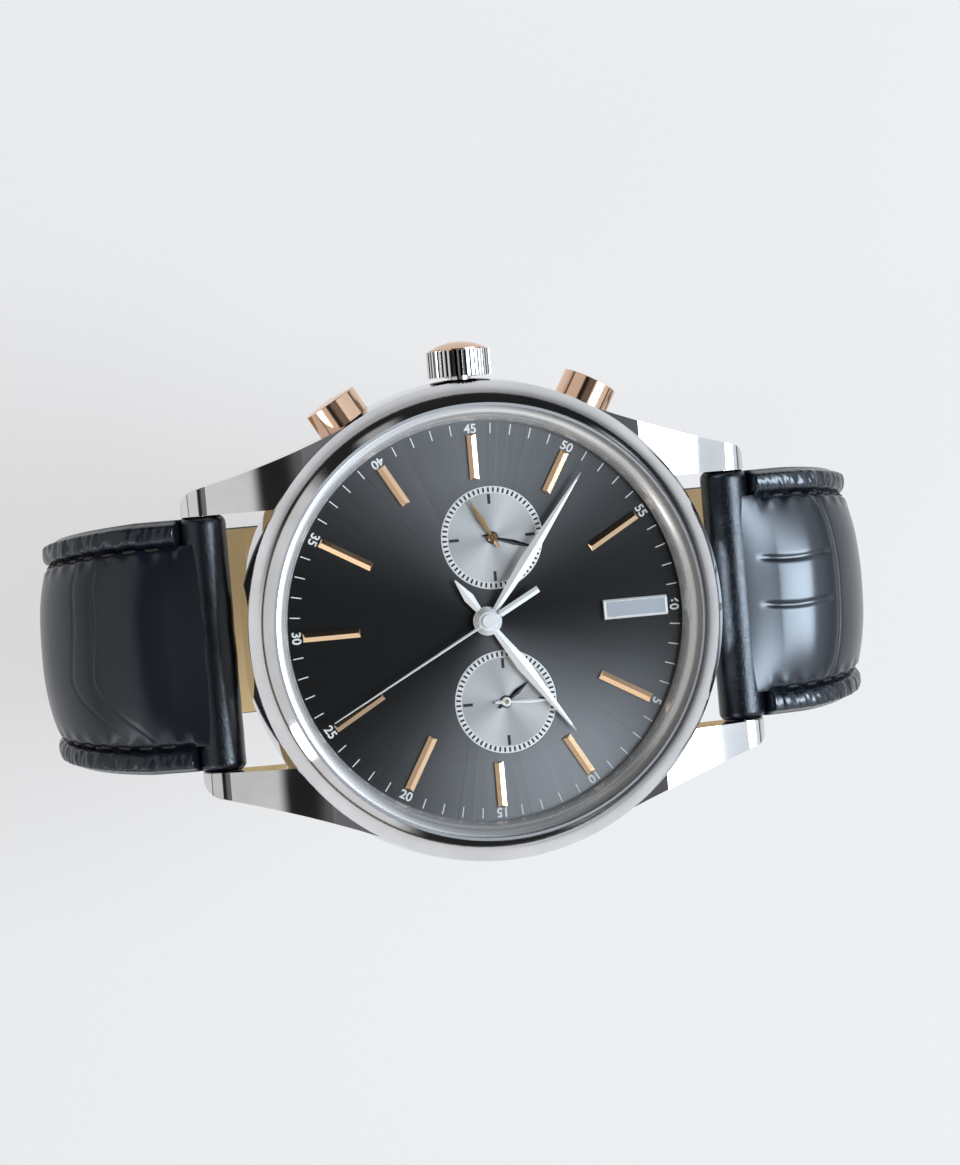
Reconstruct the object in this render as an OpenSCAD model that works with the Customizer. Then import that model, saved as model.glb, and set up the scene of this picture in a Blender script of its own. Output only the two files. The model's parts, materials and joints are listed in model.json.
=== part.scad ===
// Chronograph wristwatch, dial up, standing on its closed strap.
// +X points at 12 o'clock, +Y at the crown (9 o'clock), +Z out of the dial.
// Origin: centre of the case back's outer face. The table is back_z below it. Sizes in mm.

/* [Case] */
// Widest diameter of the mid-case
case_d = 42; // [38:0.5:46]
// Height of the case back's outer face above the table
back_z = 46; // [42:0.5:50]
// Height of the mid-case's top edge above the case back
mid_top = 8.2; // [7.9:0.05:8.6]
// Width of the bezel at its foot
bezel_w = 1.9; // [1.5:0.1:2.5]
// Space between the inner faces of a pair of lugs
lug_gap = 22.2; // [20:0.1:24]
// How far a lug reaches beyond the widest diameter
lug_len = 4; // [3:0.1:5]

/* [Dial and hands] */
// Width of the ring round the dial, under the crystal
rehaut_w = 1.5; // [1.2:0.1:3]
// Distance of each subdial from the centre, towards the crown and away from it
sub_y = 7.1; // [6.5:0.1:8]
// Shift of the subdials towards 12 o'clock
sub_x = 1.1; // [0:0.1:2]
// Radius of a subdial
sub_r = 4.5; // [3.5:0.1:5]
// Length of the hour hand
hour_len = 12.3; // [9:0.1:13]
// Length of the minute hand
minute_len = 15.1; // [13:0.1:16]
// Length of the chronograph seconds hand
chrono_len = 15.9; // [14:0.1:16.5]
// Clock angle of the hour hand at rest
hour_at = 55.6; // [0:0.1:360]
// Clock angle of the minute hand at rest
minute_at = 307.2; // [0:0.1:360]
// Clock angle of the chronograph seconds hand at rest
chrono_at = 152; // [0:0.1:360]

/* [Crown and pushers] */
// Diameter of the crown over its flutes
crown_d = 5.5; // [4.5:0.1:6]
// Diameter of a pusher's cap
push_d = 4.8; // [3.5:0.1:4.8]
// How far a pusher moves when pressed
push_travel = 1; // [0.6:0.1:1]
// Angle between the crown and each pusher
push_spread = 30; // [26:1:34]

/* [Strap] */
// Play of the strap between the lugs, both sides together
strap_play = 0.4; // [0.2:0.1:2]
// Width of the strap where it leaves the lugs' reach
strap_side_w = 19.2; // [18:0.1:20]
// Width of the strap at the buckle
strap_end_w = 18.4; // [16:0.1:18.4]
// Thickness of the padded strap beside the lugs
strap_t = 4; // [3.6:0.1:4.2]
// Thickness of the strap at the buckle
strap_end_t = 2.1; // [1.8:0.1:2.1]
// Thickness of the lining
lining_t = 0.7; // [0.5:0.05:0.9]
// Length of the flat arms of the buckle, from hinge bar to far bar
buckle_reach = 8.5; // [8:0.1:9]

/* [Hidden] */
$fn = 96;
case_r = case_d / 2;
case_side_r = 12;
mid_foot = 1.2;
side_mid = 4.7;
bore_r = case_r - 3.9;
dial_seat = 7.6;
dial_top = 8;
bezel_r = case_r - 0.35;
seat_r = bezel_r - bezel_w;
bezel_foot = mid_top + 0.03;
bezel_curve = 6;
bezel_wall = 0.6;
bezel_top = 10.95;
crystal_r = seat_r - 0.3;
dial_r = seat_r - rehaut_w;
back_r = bore_r + 1.7;
groove_r = bore_r + 0.52;
crystal_foot = 9.96;
crystal_rim = 11.1;
crystal_dome = 0.35;
lug_in = lug_gap / 2;
lug_out = lug_in + 8;
lug_reach = case_r + lug_len;
bar_x = lug_reach - 1.8;
strap_w = lug_gap - strap_play;
tip_r = 2.07;
tip_h = 2.655;
bar_h = 2.4;
bar_r = 0.85;
bar_tip_r = 0.4;
flat_x = case_r - 0.6;
drive_h = 4.8;
stem_r = 0.55;
push_r = push_d / 2;
push_out = case_r + 2.2;
push_in = case_r - 0.7;
push_tail = bore_r - 0.9;
pocket_floor = push_in - push_travel - 0.1;
shaft_r = 0.6;
plate_r = bore_r - 2.2;
plate_foot = 5.4;
plate_top = 7;
bridge_foot = 2.4;
bridge_top = 3;
run = 0.03;
pivot_r = 0.15;
arbor_r = 0.3;
hand_t = 0.15;
tube_r = 1.08;
crown_len = 2.25;
cap_foot = case_r + crown_len + 0.2;
groove_at = 13;
groove_floor_r = 0.35;
hour_z = 8.55;
minute_z = 8.92;
chrono_z = 9.3;
low_sub_z = 8.08;
high_sub_z = 8.3;
post_r = 0.42;
centre_r = 0.5;
cannon_r = 0.72;
sub_post_r = 0.2;

// Gear train: teeth and modules
motion_m = 0.2;
train_m = 0.2;
barrel_m = 0.18;
escape_m = 0.16;
fourth_c = [sub_x, -sub_y];
register_c = [sub_x, sub_y];
third_c = meet([0, 0], (48 + 6) * train_m / 2, fourth_c, (45 + 6) * train_m / 2);
minute_wheel_c = [-(10 + 30) * motion_m / 2, 0];
barrel_a = 150;
barrel_c = (64 + 8) * barrel_m / 2 * [cos(barrel_a), sin(barrel_a)];
escape_a = -50;
escape_c = fourth_c + (48 + 6) * escape_m / 2 * [cos(escape_a), sin(escape_a)];
balance_c = [9.4, -3.9];
balance_r = 3.3;
fork_dir = (balance_c - escape_c) / norm(balance_c - escape_c);
fork_a = atan2(fork_dir[1], fork_dir[0]);
fork_c = escape_c + 3.3 * fork_dir;

// Where two circles round p and q meet, on the left of the line from p to q
function meet(p, a, q, b) =
    let (d = norm(q - p), u = (q - p) / d, along = (a * a - b * b + d * d) / (2 * d))
    p + along * u + sqrt(a * a - along * along) * [-u[1], u[0]];

function heading(v) = atan2(v[1], v[0]);

// ---------- helpers ----------
// Parts placed by their height above the table
module on_table() translate([0, 0, -back_z]) children();

module clock(c) rotate([0, 0, -c]) children();

// Local +Z points straight out of the case at plan angle a, at height h
module radial(a, h) rotate([0, 0, a]) translate([0, 0, h]) rotate([0, 90, 0]) children();

module ring(r_out, r_in, foot, top)
    translate([0, 0, foot]) difference() {
        cylinder(r = r_out, h = top - foot);
        translate([0, 0, -1]) cylinder(r = r_in, h = top - foot + 2);
    }

module disc(r, foot, top) translate([0, 0, foot]) cylinder(r = r, h = top - foot);

// An XZ profile drawn from -w/2 to w/2 along Y
module across(w) translate([0, w / 2, 0]) rotate([90, 0, 0]) linear_extrude(w) children();

// Toothed disc: n teeth of module m, first tooth at angle `at`
module teeth(n, m, foot, top, at = 0) {
    pitch = 360 / n;
    root = m * (n / 2 - 1.15);
    tip = m * (n / 2 + 0.9);
    translate([0, 0, foot]) linear_extrude(top - foot)
        polygon([for (i = [0 : n - 1], c = [[root, -0.27], [tip, -0.12], [tip, 0.12], [root, 0.27]])
            c[0] * [cos(at + pitch * (i + c[1])), sin(at + pitch * (i + c[1]))]]);
}

module arbor(foot = bridge_top + 0.05, top = plate_foot - 0.05) {
    disc(arbor_r, foot, top);
    disc(pivot_r, bridge_top - 0.4, foot + 0.01);
    disc(pivot_r, top - 0.01, plate_foot + 0.4);
}

module at(p) translate([p[0], p[1], 0]) children();

// ---------- case ----------
// One lug from above: its outer edge sweeps off the case's flank and runs into the tip's round corner
module lug_plan() {
    sweep_r = 80;
    corner_r = 1.6;
    corner = [lug_reach - corner_r, lug_in + 0.7];
    rim_r = case_r - case_side_r + sqrt(pow(case_side_r, 2) - pow(mid_top - side_mid, 2));
    away = rim_r + sweep_r;
    corner_d = norm(corner);
    spread = acos((pow(corner_d, 2) + pow(away, 2) - pow(sweep_r + corner_r, 2)) / (2 * away * corner_d));
    sweep_a = atan2(corner[1], corner[0]) + spread;
    root = rim_r * cos(sweep_a);
    difference() {
        translate([root, lug_in]) square([lug_reach - root, lug_out - lug_in]);
        translate(away * [cos(sweep_a), sin(sweep_a)]) circle(r = sweep_r, $fn = 400);
        difference() {
            translate(corner) square(6);
            translate(corner) circle(r = corner_r);
        }
    }
}

module lug_side() {
    crest_r = 22;
    crest_c = [lug_reach - 13.6, -13.6];
    belly_r = 30;
    belly_c = [lug_reach - 9.7, -28.5];
    tip_c = [lug_reach - tip_r, tip_h];
    difference() {
        intersection() {
            square([lug_reach, mid_top - 0.05]);
            translate(crest_c) circle(r = crest_r, $fn = 200);
        }
        translate(belly_c) circle(r = belly_r, $fn = 200);
        difference() {
            translate([tip_c[0], -1]) square([4, 12]);
            translate(tip_c) circle(r = tip_r);
        }
    }
}

module lug() {
    intersection() {
        linear_extrude(12) lug_plan();
        translate([0, lug_out + 1, 0]) rotate([90, 0, 0])
            linear_extrude(lug_out - lug_in + 3) lug_side();
    }
}

module push_bores(a) {
    radial(a, drive_h) {
        translate([0, 0, pocket_floor]) cylinder(r = push_r + 0.04, h = 6);
        translate([0, 0, bore_r - 2]) cylinder(r = 1, h = 6);
    }
}

module mid_case() {
    color([0.78, 0.78, 0.8]) difference() {
        union() {
            rotate_extrude() intersection() {
                translate([bore_r, mid_foot]) square([case_r, mid_top - mid_foot]);
                translate([case_r - case_side_r, side_mid]) circle(r = case_side_r);
            }
            for (sx = [0, 1], sy = [0, 1])
                mirror([sx, 0, 0]) mirror([0, sy, 0]) lug();
        }
        disc(back_r + run, -1, mid_foot);
        disc(bore_r, 0, mid_top + 1);
        disc(seat_r, dial_seat, mid_top + 1);
        disc(groove_r, 0, mid_foot + 0.4);
        for (s = [0, 1]) mirror([s, 0, 0])
            translate([flat_x, -lug_in, 0]) cube([5, lug_gap, mid_top - 0.4]);
        for (s = [0, 1]) mirror([s, 0, 0])
            translate([bar_x, lug_in + 1.2, bar_h]) rotate([90, 0, 0])
                cylinder(r = bar_tip_r + 0.02, h = lug_gap + 2.4);
        radial(90, drive_h) translate([0, 0, bore_r - 2]) cylinder(r = tube_r + 0.02, h = 8);
        push_bores(90 + push_spread);
        push_bores(90 - push_spread);
    }
}

module bezel() {
    shoulder = [bezel_r, bezel_foot + bezel_wall];
    crest = [seat_r + 0.1, bezel_top];
    color([0.8, 0.8, 0.82]) rotate_extrude() intersection() {
        translate([seat_r, bezel_foot]) square([bezel_r - seat_r, 4]);
        translate(meet(shoulder, bezel_curve, crest, bezel_curve)) circle(r = bezel_curve, $fn = 400);
    }
}

module crystal() {
    rings = 16;
    color([0.8, 0.9, 1, 0.3]) rotate_extrude()
        polygon(concat([[0, crystal_foot], [crystal_r, crystal_foot]],
            [for (i = [rings : -1 : 0]) [crystal_r * i / rings,
                crystal_rim + crystal_dome * (1 - i * i / rings / rings)]]));
}

module crystal_gasket() {
    color([0.3, 0.3, 0.3]) ring(seat_r - 0.02, crystal_r + 0.02, crystal_foot, crystal_rim - 0.3);
}

module rehaut_ring() {
    color([0.75, 0.76, 0.78]) rotate_extrude()
        polygon([[dial_r, dial_top], [seat_r - 0.05, dial_top],
            [seat_r - 0.05, crystal_foot - 0.02], [(dial_r + seat_r) / 2, crystal_foot - 0.02],
            [dial_r, dial_top + 0.4]]);
}

module case_back() {
    color([0.7, 0.7, 0.72]) {
        rotate_extrude()
            polygon([[0, 0], [back_r - 0.7, 0], [back_r, 0.6], [back_r, mid_foot - run],
                [0, mid_foot - run]]);
        ring(bore_r - 0.05, bore_r - 0.9, mid_foot - 0.1, mid_foot + 0.7);
    }
}

module back_gasket() {
    color([0.15, 0.15, 0.15]) ring(groove_r - 0.02, bore_r + 0.02, mid_foot, mid_foot + 0.38);
}

// ---------- crown and pushers ----------
module crown_tube() {
    color([0.5, 0.5, 0.52]) radial(90, drive_h) difference() {
        translate([0, 0, bore_r + 0.1]) cylinder(r = tube_r, h = 5.2);
        cylinder(r = stem_r + run, h = 30);
    }
}

module crown() {
    flutes = 40;
    foot = case_r + 0.2;
    color([0.75, 0.75, 0.78]) radial(90, drive_h) translate([0, 0, foot]) difference() {
        linear_extrude(crown_len)
            polygon([for (i = [0 : flutes - 1], c = [[crown_d / 2 - 0.18, -0.4], [crown_d / 2, -0.18],
                [crown_d / 2, 0.18], [crown_d / 2 - 0.18, 0.4]])
                c[0] * [cos(360 / flutes * (i + c[1])), sin(360 / flutes * (i + c[1]))]]);
        translate([0, 0, -1]) cylinder(r = 1.5, h = 2.5);
        translate([0, 0, -1]) cylinder(r = stem_r, h = 6);
    }
}

module crown_cap() {
    cap_r = crown_d / 2 - 0.25;
    cap_h = 0.8;
    dome_r = 5;
    color([0.8, 0.6, 0.45]) radial(90, drive_h) translate([0, 0, cap_foot]) rotate_extrude()
        intersection() {
            square([cap_r, cap_h]);
            translate([0, cap_h - dome_r]) circle(r = dome_r);
        }
}

module crown_gasket() {
    color([0.1, 0.1, 0.1]) radial(90, drive_h)
        ring(1.49, tube_r + run, case_r + 0.6, case_r + 1);
}

module winding_stem() {
    inner_end = 9.6;
    color([0.6, 0.6, 0.62]) radial(90, drive_h) difference() {
        translate([0, 0, inner_end]) cylinder(r = stem_r, h = cap_foot - inner_end);
        ring(2, groove_floor_r, groove_at, groove_at + 0.5);
    }
}

// Lever that holds the stem's groove and moves with it when the crown is pulled
module setting_yoke() {
    half_w = 1.3;
    slot_r = groove_floor_r + run;
    blade_back = groove_at + 0.47;
    tail_end = 10.6;
    color([0.65, 0.62, 0.5]) difference() {
        union() {
            translate([-half_w, groove_at + run, 3.8]) cube([2 * half_w, 0.44, 1.5]);
            translate([-half_w, tail_end, 3.5]) cube([2 * half_w, blade_back - tail_end, 0.35]);
        }
        translate([-slot_r, groove_at - 1, drive_h]) cube([2 * slot_r, 3, 3]);
        translate([0, groove_at + 2, drive_h]) rotate([90, 0, 0]) cylinder(r = slot_r, h = 4);
    }
}

module pusher(a) {
    cap_h = push_out - push_in;
    edge = 0.25;
    dome_r = 14;
    color([0.8, 0.6, 0.45]) radial(a, drive_h) {
        difference() {
            translate([0, 0, push_in]) rotate_extrude() intersection() {
                polygon([[0, 0], [push_r, 0], [push_r, cap_h - edge], [push_r - edge, cap_h], [0, cap_h]]);
                translate([0, cap_h - dome_r]) circle(r = dome_r);
            }
            translate([0, 0, push_in - 1]) cylinder(r = 1.3, h = 2.75);
        }
        translate([0, 0, push_tail]) cylinder(r = shaft_r, h = push_in - push_tail + 2);
    }
}

module pusher_8() pusher(90 + push_spread);

module pusher_10() pusher(90 - push_spread);

module pusher_tube(a) {
    color([0.5, 0.5, 0.52]) radial(a, drive_h)
        ring(0.98, shaft_r + run, bore_r + 0.1, pocket_floor);
}

module pusher_tube_8() pusher_tube(90 + push_spread);

module pusher_tube_10() pusher_tube(90 - push_spread);

module pusher_spring(a) {
    coils = 5;
    coil = 0.14;
    free_len = push_travel + 0.65;
    color([0.6, 0.6, 0.6]) radial(a, drive_h) translate([0, 0, pocket_floor + 0.02]) {
        ring(1.02, 0.92, 0, free_len);
        for (i = [0 : coils - 1])
            translate([0, 0, coil + i * (free_len - 2 * coil) / (coils - 1)])
                rotate_extrude() translate([0.97, 0]) circle(r = coil, $fn = 24);
    }
}

module pusher_spring_8() pusher_spring(90 + push_spread);

module pusher_spring_10() pusher_spring(90 - push_spread);

module movement_ring() {
    color([0.6, 0.6, 0.55]) difference() {
        ring(bore_r - 0.04, plate_r + 0.05, 2.2, dial_seat - 0.04);
        for (a = [90, 90 + push_spread, 90 - push_spread])
            radial(a, drive_h) translate([0, 0, plate_r - 1]) cylinder(r = 1.15, h = 4);
    }
}

// ---------- dial ----------
module dial() {
    color([0.15, 0.15, 0.16]) difference() {
        disc(seat_r - 0.1, dial_seat, dial_top);
        disc(cannon_r + 0.33, 0, 20);
        for (c = [fourth_c, register_c]) at(c) {
            disc(sub_r, dial_top - 0.2, 20);
            disc(0.6, 0, 20);
        }
    }
}

module subdial(c) {
    color([0.7, 0.71, 0.73]) at(c)
        ring(sub_r - 0.02, 0.6, dial_top - 0.2, dial_top - 0.05);
}

module subdial_3() subdial(fourth_c);

module subdial_9() subdial(register_c);

// Bevelled bar: w wide, from radius a to b, lying on the dial
module baton(a, b, w, t) {
    edge = 0.15;
    translate([a, 0, dial_top]) rotate([90, 0, 90]) linear_extrude(b - a)
        polygon([[-w / 2, 0], [-w / 2, t - edge], [-w / 2 + edge, t],
            [w / 2 - edge, t], [w / 2, t - edge], [w / 2, 0]]);
}

module hour_markers() {
    long_ones = [1, 4, 5, 6, 7, 11];
    short_ones = [2, 3, 8, 9, 10];
    color([0.8, 0.6, 0.4]) {
        for (c = long_ones) clock(30 * c) baton(11, 16, 0.8, 0.35);
        for (c = short_ones) clock(30 * c) baton(12.2, 16.1, 0.8, 0.35);
    }
}

module twelve_marker() {
    color([0.75, 0.76, 0.8]) baton(10.3, 15.9, 1.7, 0.45);
}

// ---------- hands ----------
// Leaf-shaped hand with a ridge: widest w at a third of its length
module leaf(len, w, foot) {
    wide_at = 0.4 * len;
    translate([0, 0, foot]) linear_extrude(hand_t)
        polygon([[0, -0.28], [wide_at, -w / 2], [len, -0.05], [len, 0.05], [wide_at, w / 2], [0, 0.28]]);
}

module hour_hand() {
    tail = 4.5;
    color([0.9, 0.9, 0.9]) difference() {
        clock(hour_at) {
            leaf(hour_len, 1.15, hour_z);
            rotate([0, 0, 180]) leaf(tail, 0.85, hour_z);
            disc(1.25, hour_z, hour_z + hand_t);
        }
        disc(0.95, 0, 20);
    }
}

module minute_hand() {
    color([0.9, 0.9, 0.9]) difference() {
        clock(minute_at) {
            leaf(minute_len, 1.05, minute_z);
            disc(1.1, minute_z, minute_z + hand_t);
        }
        disc(cannon_r, 0, 20);
    }
}

module chrono_hand() {
    needle_t = 0.12;
    tail = 5.1;
    tail_w = 0.64;
    shaft = 0.3 - run;
    color([0.9, 0.9, 0.9]) {
        clock(chrono_at) {
            translate([0, 0, chrono_z]) linear_extrude(needle_t)
                polygon([[0, -0.15], [chrono_len, -0.04], [chrono_len, 0.04], [0, 0.15]]);
            translate([-tail, -tail_w / 2, chrono_z]) cube([tail, tail_w, needle_t]);
            disc(0.95, chrono_z, chrono_z + 0.2);
        }
        disc(shaft, bridge_top + 0.05, chrono_z + 0.1);
    }
}

module hand_cap() {
    color([0.8, 0.65, 0.4]) disc(0.6, chrono_z + 0.2, chrono_z + 0.38);
}

module sub_hand(c, at_clock, len, w, foot, bore) {
    at(c) difference() {
        clock(at_clock) {
            translate([0, 0, foot]) linear_extrude(0.1)
                polygon([[-0.9, -w / 2], [len, -0.06], [len, 0.06], [-0.9, w / 2]]);
            disc(0.5, foot, foot + 0.1);
        }
        disc(bore, 0, 20);
    }
}

module small_seconds_hand() {
    color([0.85, 0.85, 0.85]) sub_hand(fourth_c, 2.5, 4, 0.2, high_sub_z, sub_post_r);
}

module day_hand() {
    color([0.3, 0.3, 0.32]) sub_hand(fourth_c, 323, 2.6, 0.2, low_sub_z, sub_post_r + run);
    color([0.6, 0.6, 0.6]) at(fourth_c) ring(0.5, sub_post_r + run, dial_seat - 0.5, low_sub_z + 0.07);
}

module counter_minute_hand() {
    color([0.8, 0.6, 0.4]) sub_hand(register_c, 242, 3.9, 0.34, high_sub_z, 0);
    color([0.6, 0.6, 0.6]) at(register_c) disc(sub_post_r, plate_foot + 0.2, high_sub_z + 0.08);
}

module counter_hour_hand() {
    color([0.25, 0.25, 0.27]) sub_hand(register_c, 17, 3.9, 0.2, low_sub_z, sub_post_r + run);
    color([0.6, 0.6, 0.6]) at(register_c) ring(0.5, sub_post_r + run, dial_seat - 0.5, low_sub_z + 0.07);
}

// ---------- movement ----------
module pivot_holes(foot, top) {
    for (c = [third_c, fourth_c, escape_c, fork_c, balance_c, barrel_c])
        at(c) disc(pivot_r + run, foot, top);
}

module main_plate() {
    color([0.75, 0.72, 0.6]) {
        difference() {
            disc(plate_r, plate_foot, plate_top);
            disc(centre_r + run, 0, 20);
            for (c = [fourth_c, register_c]) at(c) disc(sub_post_r + run, 0, 20);
            pivot_holes(plate_foot - 1, plate_foot + 0.45);
        }
        at(minute_wheel_c) disc(post_r, plate_top, plate_top + 0.55);
    }
}

module train_bridge() {
    pillar_at = [55, 170, 225, 262];
    out_a = heading(balance_c);
    color([0.75, 0.74, 0.7]) {
        difference() {
            disc(plate_r, bridge_foot, bridge_top);
            at(balance_c) disc(balance_r + 0.5, 0, 20);
            at(balance_c) rotate([0, 0, out_a]) translate([0, -1.1, 0]) cube([8, 2.2, 20]);
            disc(0.27 + run, 0, 20);
            pivot_holes(bridge_top - 0.45, 20);
        }
        for (a = pillar_at) rotate([0, 0, a]) at([plate_r - 1.2, 0])
            disc(0.7, bridge_top - 0.2, plate_foot);
    }
}

module barrel() {
    color([0.8, 0.75, 0.5]) at(barrel_c) {
        teeth(64, barrel_m, 4.05, 4.4, barrel_a + 180);
        disc(4.9, 3.15, 4.1);
        arbor();
    }
}

module centre_wheel() {
    color([0.85, 0.75, 0.45]) difference() {
        union() {
            teeth(48, train_m, 4.6, 4.85, heading(third_c));
            teeth(8, barrel_m, 4, 4.45, barrel_a + 22.5);
            disc(centre_r, bridge_top + 0.05, minute_z + 0.08);
        }
        disc(0.3, 0, 20);
    }
}

module cannon_pinion() {
    color([0.6, 0.6, 0.62]) difference() {
        union() {
            teeth(10, motion_m, plate_top + 0.05, plate_top + 0.3, 180);
            disc(cannon_r, plate_top + 0.05, minute_z + 0.18);
        }
        disc(centre_r, 0, 20);
    }
}

module minute_wheel() {
    color([0.85, 0.75, 0.45]) at(minute_wheel_c) difference() {
        union() {
            teeth(30, motion_m, plate_top + 0.05, plate_top + 0.3, 6);
            teeth(8, motion_m, plate_top + 0.29, plate_top + 0.55, 0);
        }
        disc(post_r + run, 0, 20);
    }
}

module hour_wheel() {
    color([0.85, 0.75, 0.45]) difference() {
        union() {
            teeth(32, motion_m, plate_top + 0.34, plate_top + 0.55, 180 + 5.625);
            disc(0.95, plate_top + 0.34, hour_z + 0.17);
        }
        disc(cannon_r + run, 0, 20);
    }
}

module third_wheel() {
    color([0.85, 0.75, 0.45]) at(third_c) {
        teeth(6, train_m, 4.5, 4.95, heading(third_c) + 180 + 30);
        teeth(45, train_m, 3.6, 3.85, heading(fourth_c - third_c));
        arbor();
    }
}

module fourth_wheel() {
    color([0.85, 0.75, 0.45]) at(fourth_c) {
        teeth(6, train_m, 3.5, 3.95, heading(fourth_c - third_c) + 180 + 30);
        teeth(48, escape_m, 4.05, 4.25, escape_a);
        arbor();
        disc(sub_post_r, plate_foot - 0.1, high_sub_z + 0.1);
    }
}

module escape_wheel() {
    spikes = 15;
    color([0.6, 0.6, 0.62]) at(escape_c) {
        translate([0, 0, 4.45]) linear_extrude(0.25)
            polygon([for (i = [0 : spikes - 1], c = [[1.5, 0], [2.2, 0.3], [1.5, 0.45]])
                c[0] * [cos(360 / spikes * (i + c[1])), sin(360 / spikes * (i + c[1]))]]);
        teeth(6, escape_m, 3.95, 4.35, escape_a + 180 + 30);
        arbor();
    }
}

module pallet_fork() {
    reach = 3.5;
    color([0.7, 0.7, 0.72]) at(fork_c) {
        rotate([0, 0, fork_a]) translate([0, 0, 4.45]) linear_extrude(0.25)
            polygon([[-0.25, -1.6], [-1.6, -1.8], [-1.6, -1.5], [-0.5, -1.1], [-0.4, 0],
                [-0.5, 1.1], [-1.6, 1.5], [-1.6, 1.8], [-0.25, 1.6], [0.35, 0.2],
                [reach - 0.5, 0.15], [reach, 0.4], [reach, -0.4], [reach - 0.5, -0.15], [0.35, -0.2]]);
        arbor(4.3);
        disc(pivot_r, bridge_top - 0.4, 4.35);
    }
}

module balance_wheel() {
    color([0.85, 0.75, 0.45]) at(balance_c) {
        ring(balance_r, balance_r - 0.4, 3.12, 3.5);
        for (a = [0, 90]) rotate([0, 0, a])
            translate([0.3 - balance_r, -0.2, 3.2]) cube([2 * balance_r - 0.6, 0.4, 0.2]);
        arbor();
    }
}

module balance_cock() {
    foot_at = balance_r + 0.4;
    color([0.75, 0.74, 0.7]) difference() {
        intersection() {
            at(balance_c) rotate([0, 0, heading(balance_c)]) {
                translate([-0.8, -1, bridge_foot]) cube([8, 2, bridge_top - bridge_foot]);
                translate([foot_at, -1, bridge_foot]) cube([3, 2, plate_foot - bridge_foot]);
            }
            disc(plate_r, 0, 20);
        }
        pivot_holes(bridge_top - 0.45, 20);
    }
}

module rotor() {
    rim = plate_r - 0.5;
    color([0.7, 0.68, 0.6]) difference() {
        union() {
            disc(rim, 1.65, 2);
            ring(rim, rim - 1.6, 1.35, 2.3);
        }
        disc(1.2 + run, 0, 20);
        difference() {
            translate([-20, -1, 0]) cube([40, 30, 5]);
            disc(1.9, 0, 20);
        }
    }
}

module rotor_bearing() {
    color([0.6, 0.6, 0.62]) {
        disc(1.2, 1.5, bridge_foot);
        disc(1.8, 1.45, 1.6);
    }
}

// ---------- strap ----------
layer_gap = 0.3;
far_r = 0.75;
far_z = 1.45;
hinge_r = 0.7;
tail_z = 0.95 + strap_end_t / 2;
short_z = tail_z + strap_end_t + layer_gap;
long_z = far_z + far_r + 0.2 + strap_end_t / 2;
bar_z = back_z + bar_h;
start_a = -12;
knee_z = 14.65;
bend = 65;
side_turn = 25;
strap_shoulder = [[3.5, 0], [10, 90 + start_a]];
side_r = (last(trace([bar_x, bar_z], start_a, strap_shoulder))[1] - knee_z) / sin(side_turn);
upper_run = concat(strap_shoulder, [[side_r, side_turn]]);
knee = last(trace([bar_x, bar_z], start_a, upper_run));
short_r = (knee[1] - short_z) / (1 - cos(bend));
long_r = (knee[1] - long_z) / (1 - cos(bend));
short_flat = knee[0] - short_r * sin(bend);
long_flat = knee[0] - long_r * sin(bend);
dip_r = 8.8;
dip = acos(1 - (long_z - tail_z) / (2 * dip_r));
dip_from = 8.4;
tail_gap = short_z - tail_z;
tail_w = strap_end_w - 0.4;
short_path = trace([bar_x, bar_z], start_a, concat(upper_run, [[short_r, bend], [short_flat, 0]]));
long_path = trace([bar_x, bar_z], start_a, concat(upper_run, [[long_r, bend],
    [long_flat - dip_from, 0], [dip_r, -dip], [dip_r, dip],
    [dip_from - 2 * dip_r * sin(dip) + short_flat, 0],
    [short_r + tail_gap, bend], [55 + tail_gap, 6]]));

function last(list) = list[len(list) - 1];

// Point at share f of a segment [length, 0] or [radius, turn to the right]
function seg_point(p, h, seg, f) =
    seg[1] == 0
    ? [p[0] + seg[0] * f * cos(h), p[1] + seg[0] * f * sin(h), h]
    : let (g = sign(seg[1]), h2 = h - seg[1] * f)
      [p[0] + g * seg[0] * (sin(h) - sin(h2)), p[1] + g * seg[0] * (cos(h2) - cos(h)), h2];

function trace(p, h, segs, i = 0) =
    i >= len(segs)
    ? [[p[0], p[1], h]]
    : let (n = max(2, ceil(abs(segs[i][1]) / 7)), e = seg_point(p, h, segs[i], 1))
      concat([for (j = [0 : n - 1]) seg_point(p, h, segs[i], j / n)],
          trace([e[0], e[1]], e[2], segs, i + 1));

function lengths(q) =
    [for (i = 0, s = 0; i < len(q);
        s = s + (i + 1 < len(q) ? norm([q[i + 1][0] - q[i][0], q[i + 1][1] - q[i][1]]) : 0), i = i + 1) s];

function thick(s) = lookup(s, [[0, strap_t - 0.2], [6, strap_t], [14, strap_t - 0.1],
    [45, strap_end_t], [200, strap_end_t]]);

function beside(q, off) = [q[0] - off * sin(q[2]), q[1] + off * cos(q[2])];

// Leather layer along a path: the lining on its inner face, or all that lies outside the lining
module layer(path, lining) {
    s = lengths(path);
    n = len(path) - 1;
    seam = [for (i = [0 : n]) beside(path[i], lining_t - thick(s[i]) / 2)];
    face = [for (i = [0 : n]) beside(path[i], (lining ? -1 : 1) * thick(s[i]) / 2)];
    polygon(concat(face, [for (i = [n : -1 : 0]) seam[i]]));
}

// Width of the strap seen from its end: narrower towards the table
module taper() {
    half = [[strap_end_w / 2, -1], [strap_end_w / 2, 7], [strap_side_w / 2, bar_z - 11.4],
        [strap_w / 2, bar_z - 1.4], [strap_w / 2, bar_z + 12]];
    rotate([90, 0, 90]) translate([0, 0, -60]) linear_extrude(120)
        polygon([for (p = concat(half, [for (i = [len(half) - 1 : -1 : 0]) [-half[i][0], half[i][1]]])) p]);
}

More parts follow.
